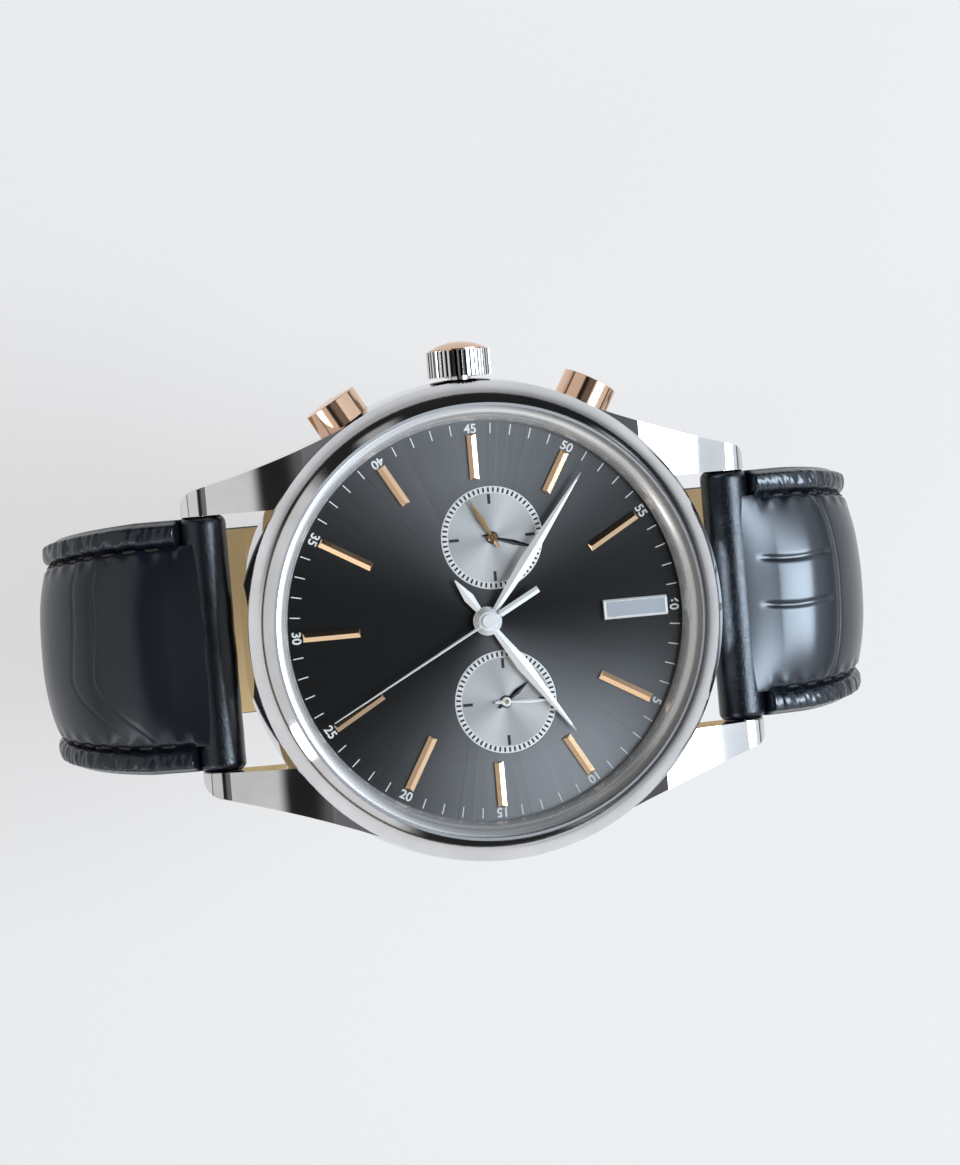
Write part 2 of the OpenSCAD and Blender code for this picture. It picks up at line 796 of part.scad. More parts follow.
module bar_bores() {
    translate([bar_x, 0, bar_z]) rotate([90, 0, 0]) cylinder(r = bar_r + run, h = 40, center = true);
    translate([0, 0, short_z]) rotate([90, 0, 0]) cylinder(r = hinge_r + run, h = 40, center = true);
}

module short_cuts() {
    bar_bores();
    translate([-3, -1.2, short_z - 3]) cube([5.2, 2.4, 6]);
}

module long_cuts() {
    bar_bores();
    translate([0.6, -0.8, -1]) cube([5, 1.6, 8]);
    for (x = [14.8, -2]) translate([x, 0, -1]) cylinder(r = 0.8, h = 9);
}

// The free end is narrower, so that it passes between the buckle's arms and through the keepers
module long_limits() intersection() {
    taper();
    union() {
        translate([0, -20, -5]) cube([60, 40, 80]);
        translate([-60, -tail_w / 2, -5]) cube([60.01, tail_w, 80]);
    }
}

module strap_12_upper() {
    on_table() color([0.08, 0.09, 0.12]) difference() {
        intersection() {
            union() {
                across(40) layer(short_path, false);
                across(40) translate([bar_x, bar_z]) circle(r = strap_t / 2 - 0.1);
                across(40) translate([0, short_z]) circle(r = 1.3);
            }
            taper();
        }
        short_cuts();
    }
}

module strap_12_lining() {
    on_table() color([0.75, 0.6, 0.42]) difference() {
        intersection() {
            across(40) difference() {
                layer(short_path, true);
                translate([bar_x, bar_z]) circle(r = strap_t / 2 + 0.1);
                translate([0, short_z]) circle(r = 1.4);
            }
            taper();
        }
        short_cuts();
    }
}

module strap_6_upper() {
    on_table() color([0.08, 0.09, 0.12]) mirror([1, 0, 0]) difference() {
        intersection() {
            union() {
                across(40) layer(long_path, false);
                across(40) translate([bar_x, bar_z]) circle(r = strap_t / 2 - 0.1);
            }
            long_limits();
        }
        long_cuts();
    }
}

module strap_6_lining() {
    on_table() color([0.75, 0.6, 0.42]) mirror([1, 0, 0]) difference() {
        intersection() {
            across(40) difference() {
                layer(long_path, true);
                translate([bar_x, bar_z]) circle(r = strap_t / 2 + 0.1);
            }
            long_limits();
        }
        long_cuts();
    }
}

module spring_bar(x) {
    on_table() color([0.7, 0.7, 0.72]) translate([x, 0, bar_z]) rotate([90, 0, 0]) {
        cylinder(r = bar_r, h = lug_gap - 0.4, center = true);
        cylinder(r = bar_tip_r, h = lug_gap + 1.8, center = true);
    }
}

module spring_bar_12() spring_bar(bar_x);

module spring_bar_6() spring_bar(-bar_x);

// ---------- buckle and keepers ----------
arm_in = strap_end_w / 2 + 0.3;
arm_t = 1.5;

module buckle_bar() {
    on_table() color([0.7, 0.7, 0.72]) translate([0, 0, short_z]) rotate([90, 0, 0]) {
        cylinder(r = hinge_r, h = 2 * arm_in - 0.2, center = true);
        cylinder(r = 0.4, h = 2 * arm_in + 2, center = true);
    }
}

module arm_side() {
    fall = atan2(short_z - far_z, buckle_reach);
    translate([0, short_z]) circle(r = 1.2);
    translate([-buckle_reach, far_z]) circle(r = 1);
    translate([0, short_z]) rotate(fall) translate([-norm([buckle_reach, short_z - far_z]), -1])
        square([norm([buckle_reach, short_z - far_z]), 2]);
}

module buckle_frame() {
    on_table() color([0.78, 0.78, 0.8]) difference() {
        union() {
            for (s = [0, 1]) mirror([0, s, 0])
                translate([0, arm_in + arm_t, 0]) rotate([90, 0, 0]) linear_extrude(arm_t) arm_side();
            translate([-buckle_reach, 0, far_z]) rotate([90, 0, 0])
                cylinder(r = far_r, h = 2 * arm_in + 0.4, center = true);
        }
        translate([0, 0, short_z]) rotate([90, 0, 0])
            cylinder(r = 0.4 + run, h = 2 * arm_in + 2.1, center = true);
    }
}

module buckle_tang() {
    tip_x = -buckle_reach - 1.4;
    on_table() color([0.78, 0.78, 0.8]) difference() {
        union() {
            across(2) translate([0, short_z]) circle(r = 1.2);
            across(1.2) polygon([[-0.7, short_z + 0.3], [-1.1, short_z - 0.8], [-2.8, short_z - 2.5],
                [-5.6, 0.37], [tip_x, 0.05], [tip_x, 0.5], [-5.6, 0.87], [-2.5, short_z - 1.95],
                [-0.9, short_z - 0.2], [0, short_z + 0.2]]);
        }
        translate([0, 0, short_z]) rotate([90, 0, 0]) cylinder(r = hinge_r + run, h = 4, center = true);
    }
}

module keeper(x, w) {
    in_w = strap_end_w / 2 + 0.1;
    low = tail_z - strap_end_t / 2 - 0.05;
    high = short_z + strap_end_t / 2 + 0.05;
    on_table() color([0.1, 0.1, 0.13]) translate([x, 0, 0]) difference() {
        translate([0, -in_w - 0.8, 0]) cube([w, 2 * in_w + 1.6, high + 0.8]);
        translate([-1, -in_w, low]) cube([w + 2, 2 * in_w, high - low]);
    }
}

module fixed_keeper() keeper(3, 4);

module free_keeper() keeper(8.2, 4);

mid_case();
bezel();
crystal();
crystal_gasket();
rehaut_ring();
case_back();
back_gasket();
movement_ring();
crown_tube();
crown();
crown_cap();
crown_gasket();
winding_stem();
setting_yoke();
pusher_8();
pusher_10();
pusher_tube_8();
pusher_tube_10();
pusher_spring_8();
pusher_spring_10();
dial();
subdial_3();
subdial_9();
hour_markers();
twelve_marker();
hour_hand();
minute_hand();
chrono_hand();
hand_cap();
small_seconds_hand();
day_hand();
counter_minute_hand();
counter_hour_hand();
main_plate();
train_bridge();
barrel();
centre_wheel();
cannon_pinion();
minute_wheel();
hour_wheel();
third_wheel();
fourth_wheel();
escape_wheel();
pallet_fork();
balance_wheel();
balance_cock();
rotor();
rotor_bearing();
strap_12_upper();
strap_12_lining();
strap_6_upper();
strap_6_lining();
spring_bar_12();
spring_bar_6();
buckle_bar();
buckle_frame();
buckle_tang();
fixed_keeper();
free_keeper();
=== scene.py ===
import json
import math

import bpy
from mathutils import Matrix, Vector, noise


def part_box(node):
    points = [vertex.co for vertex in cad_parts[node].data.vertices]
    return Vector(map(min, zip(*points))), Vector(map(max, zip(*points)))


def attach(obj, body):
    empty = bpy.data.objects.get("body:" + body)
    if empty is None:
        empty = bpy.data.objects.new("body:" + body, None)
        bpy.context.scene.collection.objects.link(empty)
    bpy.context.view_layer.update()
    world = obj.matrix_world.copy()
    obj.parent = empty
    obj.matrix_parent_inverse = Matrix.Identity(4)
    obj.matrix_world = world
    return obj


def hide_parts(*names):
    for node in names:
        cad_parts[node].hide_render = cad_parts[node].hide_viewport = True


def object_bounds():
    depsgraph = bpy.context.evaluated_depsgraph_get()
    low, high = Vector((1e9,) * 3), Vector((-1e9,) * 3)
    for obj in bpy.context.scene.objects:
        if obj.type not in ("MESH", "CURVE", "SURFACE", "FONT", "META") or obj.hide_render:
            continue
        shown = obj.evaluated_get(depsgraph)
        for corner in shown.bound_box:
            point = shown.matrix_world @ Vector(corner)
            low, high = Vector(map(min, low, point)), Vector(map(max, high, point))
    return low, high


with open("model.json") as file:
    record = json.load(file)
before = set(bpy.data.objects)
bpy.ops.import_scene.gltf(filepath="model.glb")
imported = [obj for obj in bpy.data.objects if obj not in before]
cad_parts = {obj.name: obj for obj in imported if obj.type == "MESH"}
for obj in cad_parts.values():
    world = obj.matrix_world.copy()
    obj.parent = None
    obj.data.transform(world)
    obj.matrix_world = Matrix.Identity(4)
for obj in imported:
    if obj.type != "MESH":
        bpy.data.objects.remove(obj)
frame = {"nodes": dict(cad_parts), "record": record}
CAD_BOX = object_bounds()
NODES = frame["nodes"]
MM = 0.001
FLOOR_Z = CAD_BOX[0][2]
PI = math.pi


# ---------- small helpers ----------
def smooth(a, b, x):
    t = min(1.0, max(0.0, (x - a) / (b - a)))
    return t * t * (3 - 2 * t)


def add_mesh(name, verts, faces, sharp=35.0, attrs=None):
    """verts in millimetres; attrs = {name: [vector per vertex]}"""
    me = bpy.data.meshes.new(name)
    me.from_pydata([(v[0] * MM, v[1] * MM, v[2] * MM) for v in verts], [], faces)
    me.update()
    me.polygons.foreach_set("use_smooth", [True] * len(me.polygons))
    me.set_sharp_from_angle(angle=math.radians(sharp))
    for key, values in (attrs or {}).items():
        layer = me.attributes.new(key, "FLOAT_VECTOR", "POINT")
        layer.data.foreach_set("vector", [c for v in values for c in v])
    ob = bpy.data.objects.new(name, me)
    bpy.context.scene.collection.objects.link(ob)
    return ob


def finish_piece(ob, material, body, replaces=()):
    ob.data.materials.clear()
    ob.data.materials.append(material)
    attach(ob, body)
    if replaces:
        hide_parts(*replaces)
    return ob


def loft(rings, close_ring=True, caps=True):
    """Quads between rings of equal length. Returns (verts, faces)."""
    n = len(rings[0])
    verts = [p for ring in rings for p in ring]
    faces = []
    last = n if close_ring else n - 1
    for i in range(len(rings) - 1):
        for j in range(last):
            k = (j + 1) % n
            faces.append((i * n + j, i * n + k, (i + 1) * n + k, (i + 1) * n + j))
    if caps:
        faces.append(tuple(reversed(range(n))))
        faces.append(tuple((len(rings) - 1) * n + j for j in range(n)))
    return verts, faces


def lathe(profile, segments=256, centre=(0, 0)):
    """Closed (radius, height) profile turned round Z."""
    rings = []
    for i in range(segments):
        a = 2 * PI * i / segments
        rings.append([(centre[0] + r * math.cos(a), centre[1] + r * math.sin(a), z) for r, z in profile])
    rings.append(rings[0])
    verts, faces = loft(rings, caps=False)
    n = len(profile)
    count = segments * n
    return verts[:count], [tuple(v % count for v in f) for f in faces]


def box_sides(b=0):
    """Side faces of a box: four lower corners from vertex b, then the four upper ones."""
    return [(b + i, b + (i + 1) % 4, b + 4 + (i + 1) % 4, b + 4 + i) for i in range(4)]


# ---------- materials ----------
class Graph:
    """Short way to write a node tree."""

    def __init__(self, name):
        self.take(bpy.data.materials.new(name))

    @classmethod
    def of(cls, mat):
        """The same tools on a material that exists already."""
        g = cls.__new__(cls)
        g.take(mat)
        return g

    def take(self, mat):
        self.mat = mat
        mat.use_nodes = True
        self.t = mat.node_tree
        self.b = self.t.nodes["Principled BSDF"]

    def node(self, kind, **props):
        n = self.t.nodes.new(kind)
        inputs = props.pop("inputs", {})
        for k, v in props.items():
            setattr(n, k, v)
        for k, v in inputs.items():
            self.put(v, n.inputs[k])
        return n

    def put(self, value, socket):
        if isinstance(value, bpy.types.NodeSocket):
            self.t.links.new(value, socket)
        else:
            socket.default_value = value

    def math(self, op, a, b=0.0, c=0.0, clamp=False):
        n = self.node("ShaderNodeMath", operation=op, use_clamp=clamp)
        for i, v in enumerate((a, b, c)):
            self.put(v, n.inputs[i])
        return n.outputs[0]

    def coords(self):
        return self.node("ShaderNodeTexCoord").outputs["Object"]

    def attribute(self, name):
        return self.node("ShaderNodeAttribute", attribute_name=name).outputs["Vector"]

    def split(self, v):
        return self.node("ShaderNodeSeparateXYZ", inputs={0: v}).outputs

    def scale(self, v, s):
        n = self.node("ShaderNodeVectorMath", operation="MULTIPLY")
        self.put(v, n.inputs[0])
        n.inputs[1].default_value = s
        return n.outputs[0]

    def shift(self, v, s):
        n = self.node("ShaderNodeVectorMath", operation="ADD")
        self.put(v, n.inputs[0])
        n.inputs[1].default_value = s
        return n.outputs[0]

    def noise(self, v, scale, detail=3.0, rough=0.55):
        n = self.node("ShaderNodeTexNoise")
        self.put(v, n.inputs["Vector"])
        n.inputs["Scale"].default_value = scale
        n.inputs["Detail"].default_value = detail
        n.inputs["Roughness"].default_value = rough
        return n.outputs["Fac"]

    def voronoi(self, v, scale, feature="DISTANCE_TO_EDGE"):
        n = self.node("ShaderNodeTexVoronoi", feature=feature)
        self.put(v, n.inputs["Vector"])
        n.inputs["Scale"].default_value = scale
        return n.outputs["Distance"]

    def span(self, v, a, b, lo, hi):
        n = self.node("ShaderNodeMapRange")
        for i, x in enumerate((v, a, b, lo, hi)):
            self.put(x, n.inputs[i])
        return n.outputs[0]

    def mix(self, f, a, b):
        n = self.node("ShaderNodeMix", data_type="RGBA")
        self.put(f, n.inputs[0])
        self.put(a, n.inputs[6])
        self.put(b, n.inputs[7])
        return n.outputs[2]

    def bump(self, height, strength, distance):
        n = self.node("ShaderNodeBump")
        n.inputs["Strength"].default_value = strength
        n.inputs["Distance"].default_value = distance
        self.put(height, n.inputs["Height"])
        self.t.links.new(n.outputs["Normal"], self.b.inputs["Normal"])
        return n.outputs["Normal"]

    def set(self, **kw):
        for k, v in kw.items():
            self.put(v, self.b.inputs[k.replace("_", " ")])
        return self


def rgb(r, g, b):
    return (r, g, b, 1.0)


def metal(name, colour, rough, scratch=0.15, worn=0.8):
    """Polished or satin metal with faint streaks, smudges and hairline scratches."""
    g = Graph(name)
    p = g.coords()
    smudge = g.noise(p, 140, 4)
    hair = g.noise(g.scale(p, (1.0, 18.0, 1.0)), 900, 2)
    dark = tuple(c * worn for c in colour)
    g.set(Base_Color=g.mix(g.span(smudge, 0.35, 0.7, 0, 1), rgb(*dark), rgb(*colour)),
          Metallic=1.0, Roughness=g.span(smudge, 0.3, 0.75, rough * 0.8, rough * 1.35))
    g.bump(hair, scratch, 0.00001)
    return g.mat


def brushed(name, colour, rough, lines=3500):
    """Metal with a circular grain round Z."""
    g = Graph(name)
    x, y, z = g.split(g.coords())[:3]
    radius = g.math("SQRT", g.math("ADD", g.math("MULTIPLY", x, x), g.math("MULTIPLY", y, y)))
    line = g.node("ShaderNodeCombineXYZ", inputs={0: radius, 1: z})
    grain = g.noise(line.outputs[0], lines, 2)
    dark = tuple(c * 0.75 for c in colour)
    g.set(Base_Color=g.mix(grain, rgb(*dark), rgb(*colour)), Metallic=1.0,
          Roughness=g.span(grain, 0.2, 0.8, rough * 0.8, rough * 1.3))
    g.bump(grain, 0.2, 0.00001)
    return g.mat


def sunray_painted_sheen(name, dark, light, sheen_lobes, centre=(0, 0), rough=0.32, metallic=0.75, fade=0.0, grit=0.06):
    """Sunray finish with its sheen painted in. Each lobe = (turn in radians, sharpness, gain) is a bright ray
    of painted highlight in the base colour.
    """
    g = Graph(name)
    p = g.shift(g.coords(), (-centre[0] * MM, -centre[1] * MM, 0))
    x, y = g.split(p)[:2]
    angle = g.math("ARCTAN2", y, x)
    radius = g.math("SQRT", g.math("ADD", g.math("MULTIPLY", x, x), g.math("MULTIPLY", y, y)))
    # Painted highlight: the lobes lighten the base colour as if light were reflected there; fade weakens them
    # towards the centre.
    glow = 0.0
    for turn, sharp, gain in sheen_lobes:
        c = g.math("COSINE", g.math("SUBTRACT", angle, turn))
        c = g.math("POWER", g.math("MAXIMUM", c, 0.0), sharp)
        glow = g.math("ADD", g.math("MULTIPLY", c, gain), glow)
    if fade:
        glow = g.math("MULTIPLY", glow, g.span(radius, 0.0, fade * MM, 0.25, 1.0))
    ray = g.node("ShaderNodeCombineXYZ", inputs={0: g.math("COSINE", angle), 1: g.math("SINE", angle)})
    fine = g.noise(ray.outputs[0], 160, 3, 0.7)
    grain = g.span(fine, 0.3, 0.7, -grit, grit)
    fac = g.math("ADD", glow, grain, clamp=True)
    g.set(Base_Color=g.mix(fac, rgb(*dark), rgb(*light)), Metallic=metallic,
          Roughness=g.span(fine, 0.3, 0.7, rough * 0.85, rough * 1.2))
    g.bump(fine, grit * 1.3, 0.00002)
    return g.mat


def leather(name, colour, high, rough, grain=900.0, wrinkle=0.0, coat=0.15, shine=0.5):
    """Fine pebbled leather. The 'lay' attribute runs (along, across, strip) in millimetres."""
    g = Graph(name)
    lay = g.attribute("lay")
    along, across, strip = g.split(lay)[:3]
    flat = g.node("ShaderNodeCombineXYZ", inputs={0: along, 1: across}).outputs[0]
    cells = g.voronoi(flat, grain / 300.0)
    pores = g.noise(flat, grain / 100.0, 3)
    cloud = g.noise(flat, 0.35, 3)
    slanted = g.math("ADD", along, g.math("MULTIPLY", across, 0.25))
    sheared = g.node("ShaderNodeCombineXYZ", inputs={0: slanted, 1: across}).outputs[0]
    fold = g.noise(g.scale(sheared, (2.7, 0.42, 1.0)), 1.0, 5, 0.68)
    folded = g.math("MULTIPLY", g.span(fold, 0.34, 0.62, 0.0, 1.0), g.math("MULTIPLY", strip, wrinkle))
    hair = g.span(g.noise(g.scale(flat, (0.5, 2.2, 1.0)), 1.0, 6, 0.75), 0.47, 0.5, 0.0, 1.0)
    height = g.math("ADD", g.math("MULTIPLY", g.span(cells, 0.0, 0.12, 0.0, 1.0), 0.2),
                    g.math("MULTIPLY", pores, 0.32))
    height = g.math("ADD", height, g.math("MULTIPLY", folded, 3.0))
    height = g.math("ADD", height, g.math("MULTIPLY", hair, 0.1))
    tint = g.math("ADD", g.math("MULTIPLY", cloud, 0.8), g.math("MULTIPLY", pores, 0.2))
    g.set(Base_Color=g.mix(g.span(tint, 0.3, 0.7, 0, 1), rgb(*colour), rgb(*high)),
          Roughness=g.span(g.math("ADD", cloud, folded), 0.3, 1.2, rough * 0.9, rough * 1.3))
    g.b.inputs["Coat Weight"].default_value = coat
    g.b.inputs["Coat Roughness"].default_value = 0.22
    g.b.inputs["Specular IOR Level"].default_value = shine
    g.b.inputs["Specular Tint"].default_value = (0.86, 0.93, 1.0, 1)
    g.bump(height, 0.4, 0.00007)
    return g.mat


def paint(name, colour, rough=0.5, speck=0.1):
    g = Graph(name)
    p = g.coords()
    n = g.noise(p, 1500, 3)
    dark = tuple(c * (1 - speck) for c in colour)
    g.set(Base_Color=g.mix(n, rgb(*dark), rgb(*colour)),
          Roughness=g.span(n, 0.3, 0.7, rough * 0.9, rough * 1.1))
    g.bump(n, 0.05, 0.00001)
    return g.mat


def flutes_painted_shade(name, colour, axis_z, ridge_r):
    """Polished flutes round an axis along Y, with painted shade: near-black base colour in the valleys
    between them.
    """
    mat = metal(name, colour, 0.1)
    g = Graph.of(mat)
    x, _, z = g.split(g.shift(g.coords(), (0, 0, -axis_z * MM)))[:3]
    radius = g.math("SQRT", g.math("ADD", g.math("MULTIPLY", x, x), g.math("MULTIPLY", z, z)))
    worn = g.noise(g.coords(), 500, 3)
    height = g.math("ADD", radius, g.math("MULTIPLY", worn, 0.00003))
    # Painted shade: below the ridges the base colour turns near black, as if the valleys lay in shade; the
    # noise only wobbles that edge.
    bright = g.span(height, (ridge_r - 0.13) * MM, (ridge_r - 0.02) * MM, 0.0, 1.0)
    g.set(Base_Color=g.mix(bright, rgb(0.02, 0.02, 0.022), rgb(*colour)))
    return g.mat


def glowing_floor(name, colour, glow, strength):
    """Matt paper lit from behind, less so far off towards +Y and +X."""
    mat = paint(name, colour, 0.9, 0.01)
    g = Graph.of(mat)
    x, y = g.split(g.coords())[:2]
    share = g.math("MULTIPLY", g.span(y, 0.07, 0.3, 1.0, 0.45), g.span(x, 0.062, 0.3, 1.0, 0.55))
    g.set(Emission_Color=rgb(*glow), Emission_Strength=g.math("MULTIPLY", share, strength))
    return mat


def crystal_glass(name):
    g = Graph(name)
    n = g.noise(g.coords(), 60, 2)
    g.set(Base_Color=rgb(0.01, 0.011, 0.012), Roughness=g.span(n, 0.3, 0.7, 0.01, 0.03))
    g.b.inputs["Alpha"].default_value = 0.05
    g.b.inputs["IOR"].default_value = 1.5
    return g.mat


STEEL = metal("steel_polished", (0.83, 0.83, 0.84), 0.07)
GOLD = metal("rose_gold", (0.87, 0.58, 0.41), 0.1)
GOLD_BRIGHT = metal("rose_gold_bright", (0.95, 0.66, 0.42), 0.16, worn=0.93)
BRASS = brushed("brass_satin", (0.83, 0.66, 0.36), 0.3)
NICKEL = brushed("nickel_grain", (0.72, 0.72, 0.7), 0.3)
REHAUT = brushed("rehaut_satin", (0.88, 0.87, 0.86), 0.26)
REHAUT.node_tree.nodes["Principled BSDF"].inputs["Metallic"].default_value = 0.6
RUBBER = paint("rubber_black", (0.02, 0.02, 0.02), 0.7, 0.4)
WHITE_INK = paint("ink_white", (0.85, 0.85, 0.83), 0.5)
BLACK_INK = paint("ink_black", (0.015, 0.015, 0.018), 0.45)
HAND = metal("hand_silver", (0.97, 0.97, 0.96), 0.3, worn=0.95)
HAND.node_tree.nodes["Principled BSDF"].inputs["Metallic"].default_value = 0.3
HAND_DARK = metal("hand_dark", (0.1, 0.1, 0.12), 0.25)
GOLD_DARK = metal("hand_gold", (0.45, 0.31, 0.16), 0.22)
# Painted highlight: one broad lobe towards +X lightens the inlay's colour.
INLAY = sunray_painted_sheen("marker_inlay", (0.3, 0.32, 0.35), (0.47, 0.49, 0.53), [(0.0, 2, 0.5)],
                 rough=0.35, metallic=0.4)
GLASS = crystal_glass("sapphire_crystal")
# Painted highlight: two bright lobes of reflected light, towards +Y and towards -Y, painted into the black
# dial's colour.
DIAL = sunray_painted_sheen("dial_sunburst", (0.011, 0.0112, 0.0113), (0.3, 0.305, 0.315),
                [(PI / 2, 3.5, 0.7), (-PI / 2 + 0.3, 3.0, 1.0)], fade=13, grit=0.012)
LEATHER_LOW, LEATHER_HIGH = (0.004, 0.005, 0.008), (0.008, 0.0105, 0.018)
LEATHER = leather("leather_black", LEATHER_LOW, LEATHER_HIGH, 0.29, wrinkle=1.0, coat=0.1)
LEATHER_SHINY = leather("leather_shiny", LEATHER_LOW, LEATHER_HIGH, 0.27, wrinkle=1.0, shine=0.8)
LINING = leather("leather_tan", (0.62, 0.43, 0.19), (0.78, 0.58, 0.3), 0.5, grain=1300, coat=0.0)
THREAD = paint("thread_black", (0.012, 0.012, 0.014), 0.55, 0.5)


# ---------- sizes read from the frame ----------
def mm_box(node):
    lo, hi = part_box(node)
    return [c / MM for c in lo], [c / MM for c in hi]


DIAL_TOP = mm_box("dial")[1][2]
DIAL_EDGE = mm_box("rehaut_ring")[1][0] - 1.45
BAR_LO, BAR_HI = mm_box("spring_bar_12")
BAR_X = (BAR_LO[0] + BAR_HI[0]) / 2
BAR_Z = (BAR_LO[2] + BAR_HI[2]) / 2
STRAP_W = mm_box("strap_12_upper")[1][1] * 2
TABLE = FLOOR_Z / MM
SUB_3 = [(a + b) / 2 for a, b in zip(*mm_box("subdial_3"))]
SUB_9 = [(a + b) / 2 for a, b in zip(*mm_box("subdial_9"))]
SUB_R = (mm_box("subdial_3")[1][0] - mm_box("subdial_3")[0][0]) / 2

# ---------- camera ----------
# Turned about the dial's vertical and horizontal, then rolled, as in the picture.
YAW, PITCH, ROLL = math.radians(9.5), math.radians(2.0), math.radians(4.9)
VIEW_HEIGHT = 100.3
FOCAL = 110.0
AIM_RIGHT, AIM_UP = -0.56, 3.3
SENSOR = 36.0

right = Vector((math.cos(YAW), 0, math.sin(YAW)))
back = Vector((-math.sin(YAW) * math.cos(PITCH), math.sin(PITCH), math.cos(YAW) * math.cos(PITCH)))
back = back.normalized()
up = back.cross(right).normalized()
cam_x = math.cos(ROLL) * right - math.sin(ROLL) * up
cam_y = math.sin(ROLL) * right + math.cos(ROLL) * up
distance = VIEW_HEIGHT * FOCAL / SENSOR
aim = Vector((0, 0, DIAL_TOP)) + AIM_RIGHT * cam_x + AIM_UP * cam_y
eye = (aim + distance * back) * MM
cam_data = bpy.data.cameras.new("camera")
cam_data.lens = FOCAL
cam_data.sensor_width = SENSOR
cam_data.sensor_fit = "AUTO"
cam_data.clip_start = 0.01
cam_data.clip_end = 20.0
camera = bpy.data.objects.new("camera", cam_data)
camera.matrix_world = Matrix(((cam_x[0], cam_y[0], back[0], eye[0]), (cam_x[1], cam_y[1], back[1], eye[1]),
                              (cam_x[2], cam_y[2], back[2], eye[2]), (0, 0, 0, 1)))
bpy.context.scene.collection.objects.link(camera)
bpy.context.scene.camera = camera


# ---------- light, world and floor ----------
def area_light(name, place, target, size, power, colour=(1, 1, 1)):
    data = bpy.data.lights.new(name, "AREA")
    data.shape = "RECTANGLE"
    data.size, data.size_y = size
    data.energy = power
    data.color = colour
    ob = bpy.data.objects.new(name, data)
    ob.location = place
    ob.rotation_euler = (Vector(target) - Vector(place)).to_track_quat("-Z", "Y").to_euler()
    bpy.context.scene.collection.objects.link(ob)
    return ob


def build_world():
    """A studio seen in reflections: dim top, soft panels at the sides, pale from the horizon down."""
    world = bpy.data.worlds.new("studio")
    bpy.context.scene.world = world
    world.use_nodes = True
    t = world.node_tree
    t.nodes.clear()

    def node(kind, **props):
        n = t.nodes.new(kind)
        for k, v in props.items():
            setattr(n, k, v)
        return n

    def calc(op, a, b=0.0, clamp=False):
        n = node("ShaderNodeMath", operation=op, use_clamp=clamp)
        for i, v in enumerate((a, b)):
            if isinstance(v, bpy.types.NodeSocket):
                t.links.new(v, n.inputs[i])
            else:
                n.inputs[i].default_value = v
        return n.outputs[0]

    def step(v, lo, hi):
        n = node("ShaderNodeMapRange", interpolation_type="SMOOTHSTEP")
        t.links.new(v, n.inputs[0])
        n.inputs[1].default_value, n.inputs[2].default_value = lo, hi
        return n.outputs[0]

    coords = node("ShaderNodeTexCoord")
    sep = node("ShaderNodeSeparateXYZ")
    t.links.new(coords.outputs["Generated"], sep.inputs[0])
    x, y, z = sep.outputs
    turn = calc("ARCTAN2", y, x)

    def panel(at, half, low, high, soft=0.25, edge=0.08):
        """Soft-edged panel: turn and half width in radians, low and high as sines of elevation."""
        off = calc("ABSOLUTE", calc("SUBTRACT", turn, at))
        off = calc("MINIMUM", off, calc("SUBTRACT", 2 * PI, off))
        inside = calc("SUBTRACT", 1.0, step(off, half - soft, half + soft))
        rise = calc("MULTIPLY", step(z, low - edge, low + edge),
                    calc("SUBTRACT", 1.0, step(z, high - edge, high + edge)))
        return calc("MULTIPLY", inside, rise)

    total = calc("ADD", ROOM_GLOW, calc("MULTIPLY", step(z, 0.94, 1.0), TOP_GLOW))
    # Below the horizon it is pale, but darker towards +Y and partly towards +X
    below = calc("SUBTRACT", 1.0, step(z, 0.0, 0.05))
    low = calc("MULTIPLY", below, calc("SUBTRACT", 1.0, step(y, 0.1, 0.6)))
    low = calc("MULTIPLY", low, calc("SUBTRACT", 1.0, calc("MULTIPLY", step(x, 0.4, 0.9), 0.7)))
    total = calc("ADD", total, calc("MULTIPLY", low, HORIZON))
    for at, half, low, high, gain, soft, edge in PANELS:
        total = calc("ADD", total, calc("MULTIPLY", panel(at, half, low, high, soft, edge), gain))
    tint = node("ShaderNodeMix", data_type="RGBA")
    t.links.new(step(x, -0.2, 0.6), tint.inputs[0])
    tint.inputs[6].default_value = (1.0, 0.99, 0.98, 1)
    tint.inputs[7].default_value = (0.88, 0.94, 1.0, 1)
    bg = node("ShaderNodeBackground")
    out = node("ShaderNodeOutputWorld")
    t.links.new(tint.outputs[2], bg.inputs[0])
    t.links.new(total, bg.inputs[1])
    t.links.new(bg.outputs[0], out.inputs[0])


ROOM_GLOW = 0.02
TOP_GLOW = 0.17
HORIZON = 0.75
# Each panel: turn, half width, low and high edge, brightness, softness of the sides, of the ends
PANELS = [
    (-PI * 0.93, 1.05, 0.1, 0.84, 0.7, 0.1, 0.03),
    (-0.1, 0.85, 0.1, 0.955, 0.95, 0.12, 0.015),
    (-PI / 2, 0.45, 0.3, 0.8, 1.1, 0.1, 0.04),
    (-0.95, 0.18, 0.1, 0.5, 0.8, 0.08, 0.05),
    (1.9, 0.1, 0.2, 0.6, 0.4, 0.06, 0.05),
]
build_world()
area_light("key_panel", (0.34, -0.03, 0.38), (0.02, 0, 0), (0.2, 0.32), 2.6, (0.78, 0.89, 1.0))
area_light("side_panel", (-0.45, -0.3, 0.2), (-0.02, 0, -0.01), (0.1, 0.3), 0.3)

bpy.context.scene.view_settings.view_transform = "Standard"

FLOOR_GLOW = 0.74
FLOOR_HALF = 1500
floor_verts = [(-FLOOR_HALF, -FLOOR_HALF, TABLE), (FLOOR_HALF, -FLOOR_HALF, TABLE),
               (FLOOR_HALF, FLOOR_HALF, TABLE), (-FLOOR_HALF, FLOOR_HALF, TABLE)]
floor = add_mesh("floor", floor_verts, [(0, 1, 2, 3)])
FLOOR_PAINT = glowing_floor("floor_paper", (0.2, 0.197, 0.193), (0.83, 0.83, 0.84), FLOOR_GLOW)
floor.data.materials.append(FLOOR_PAINT)

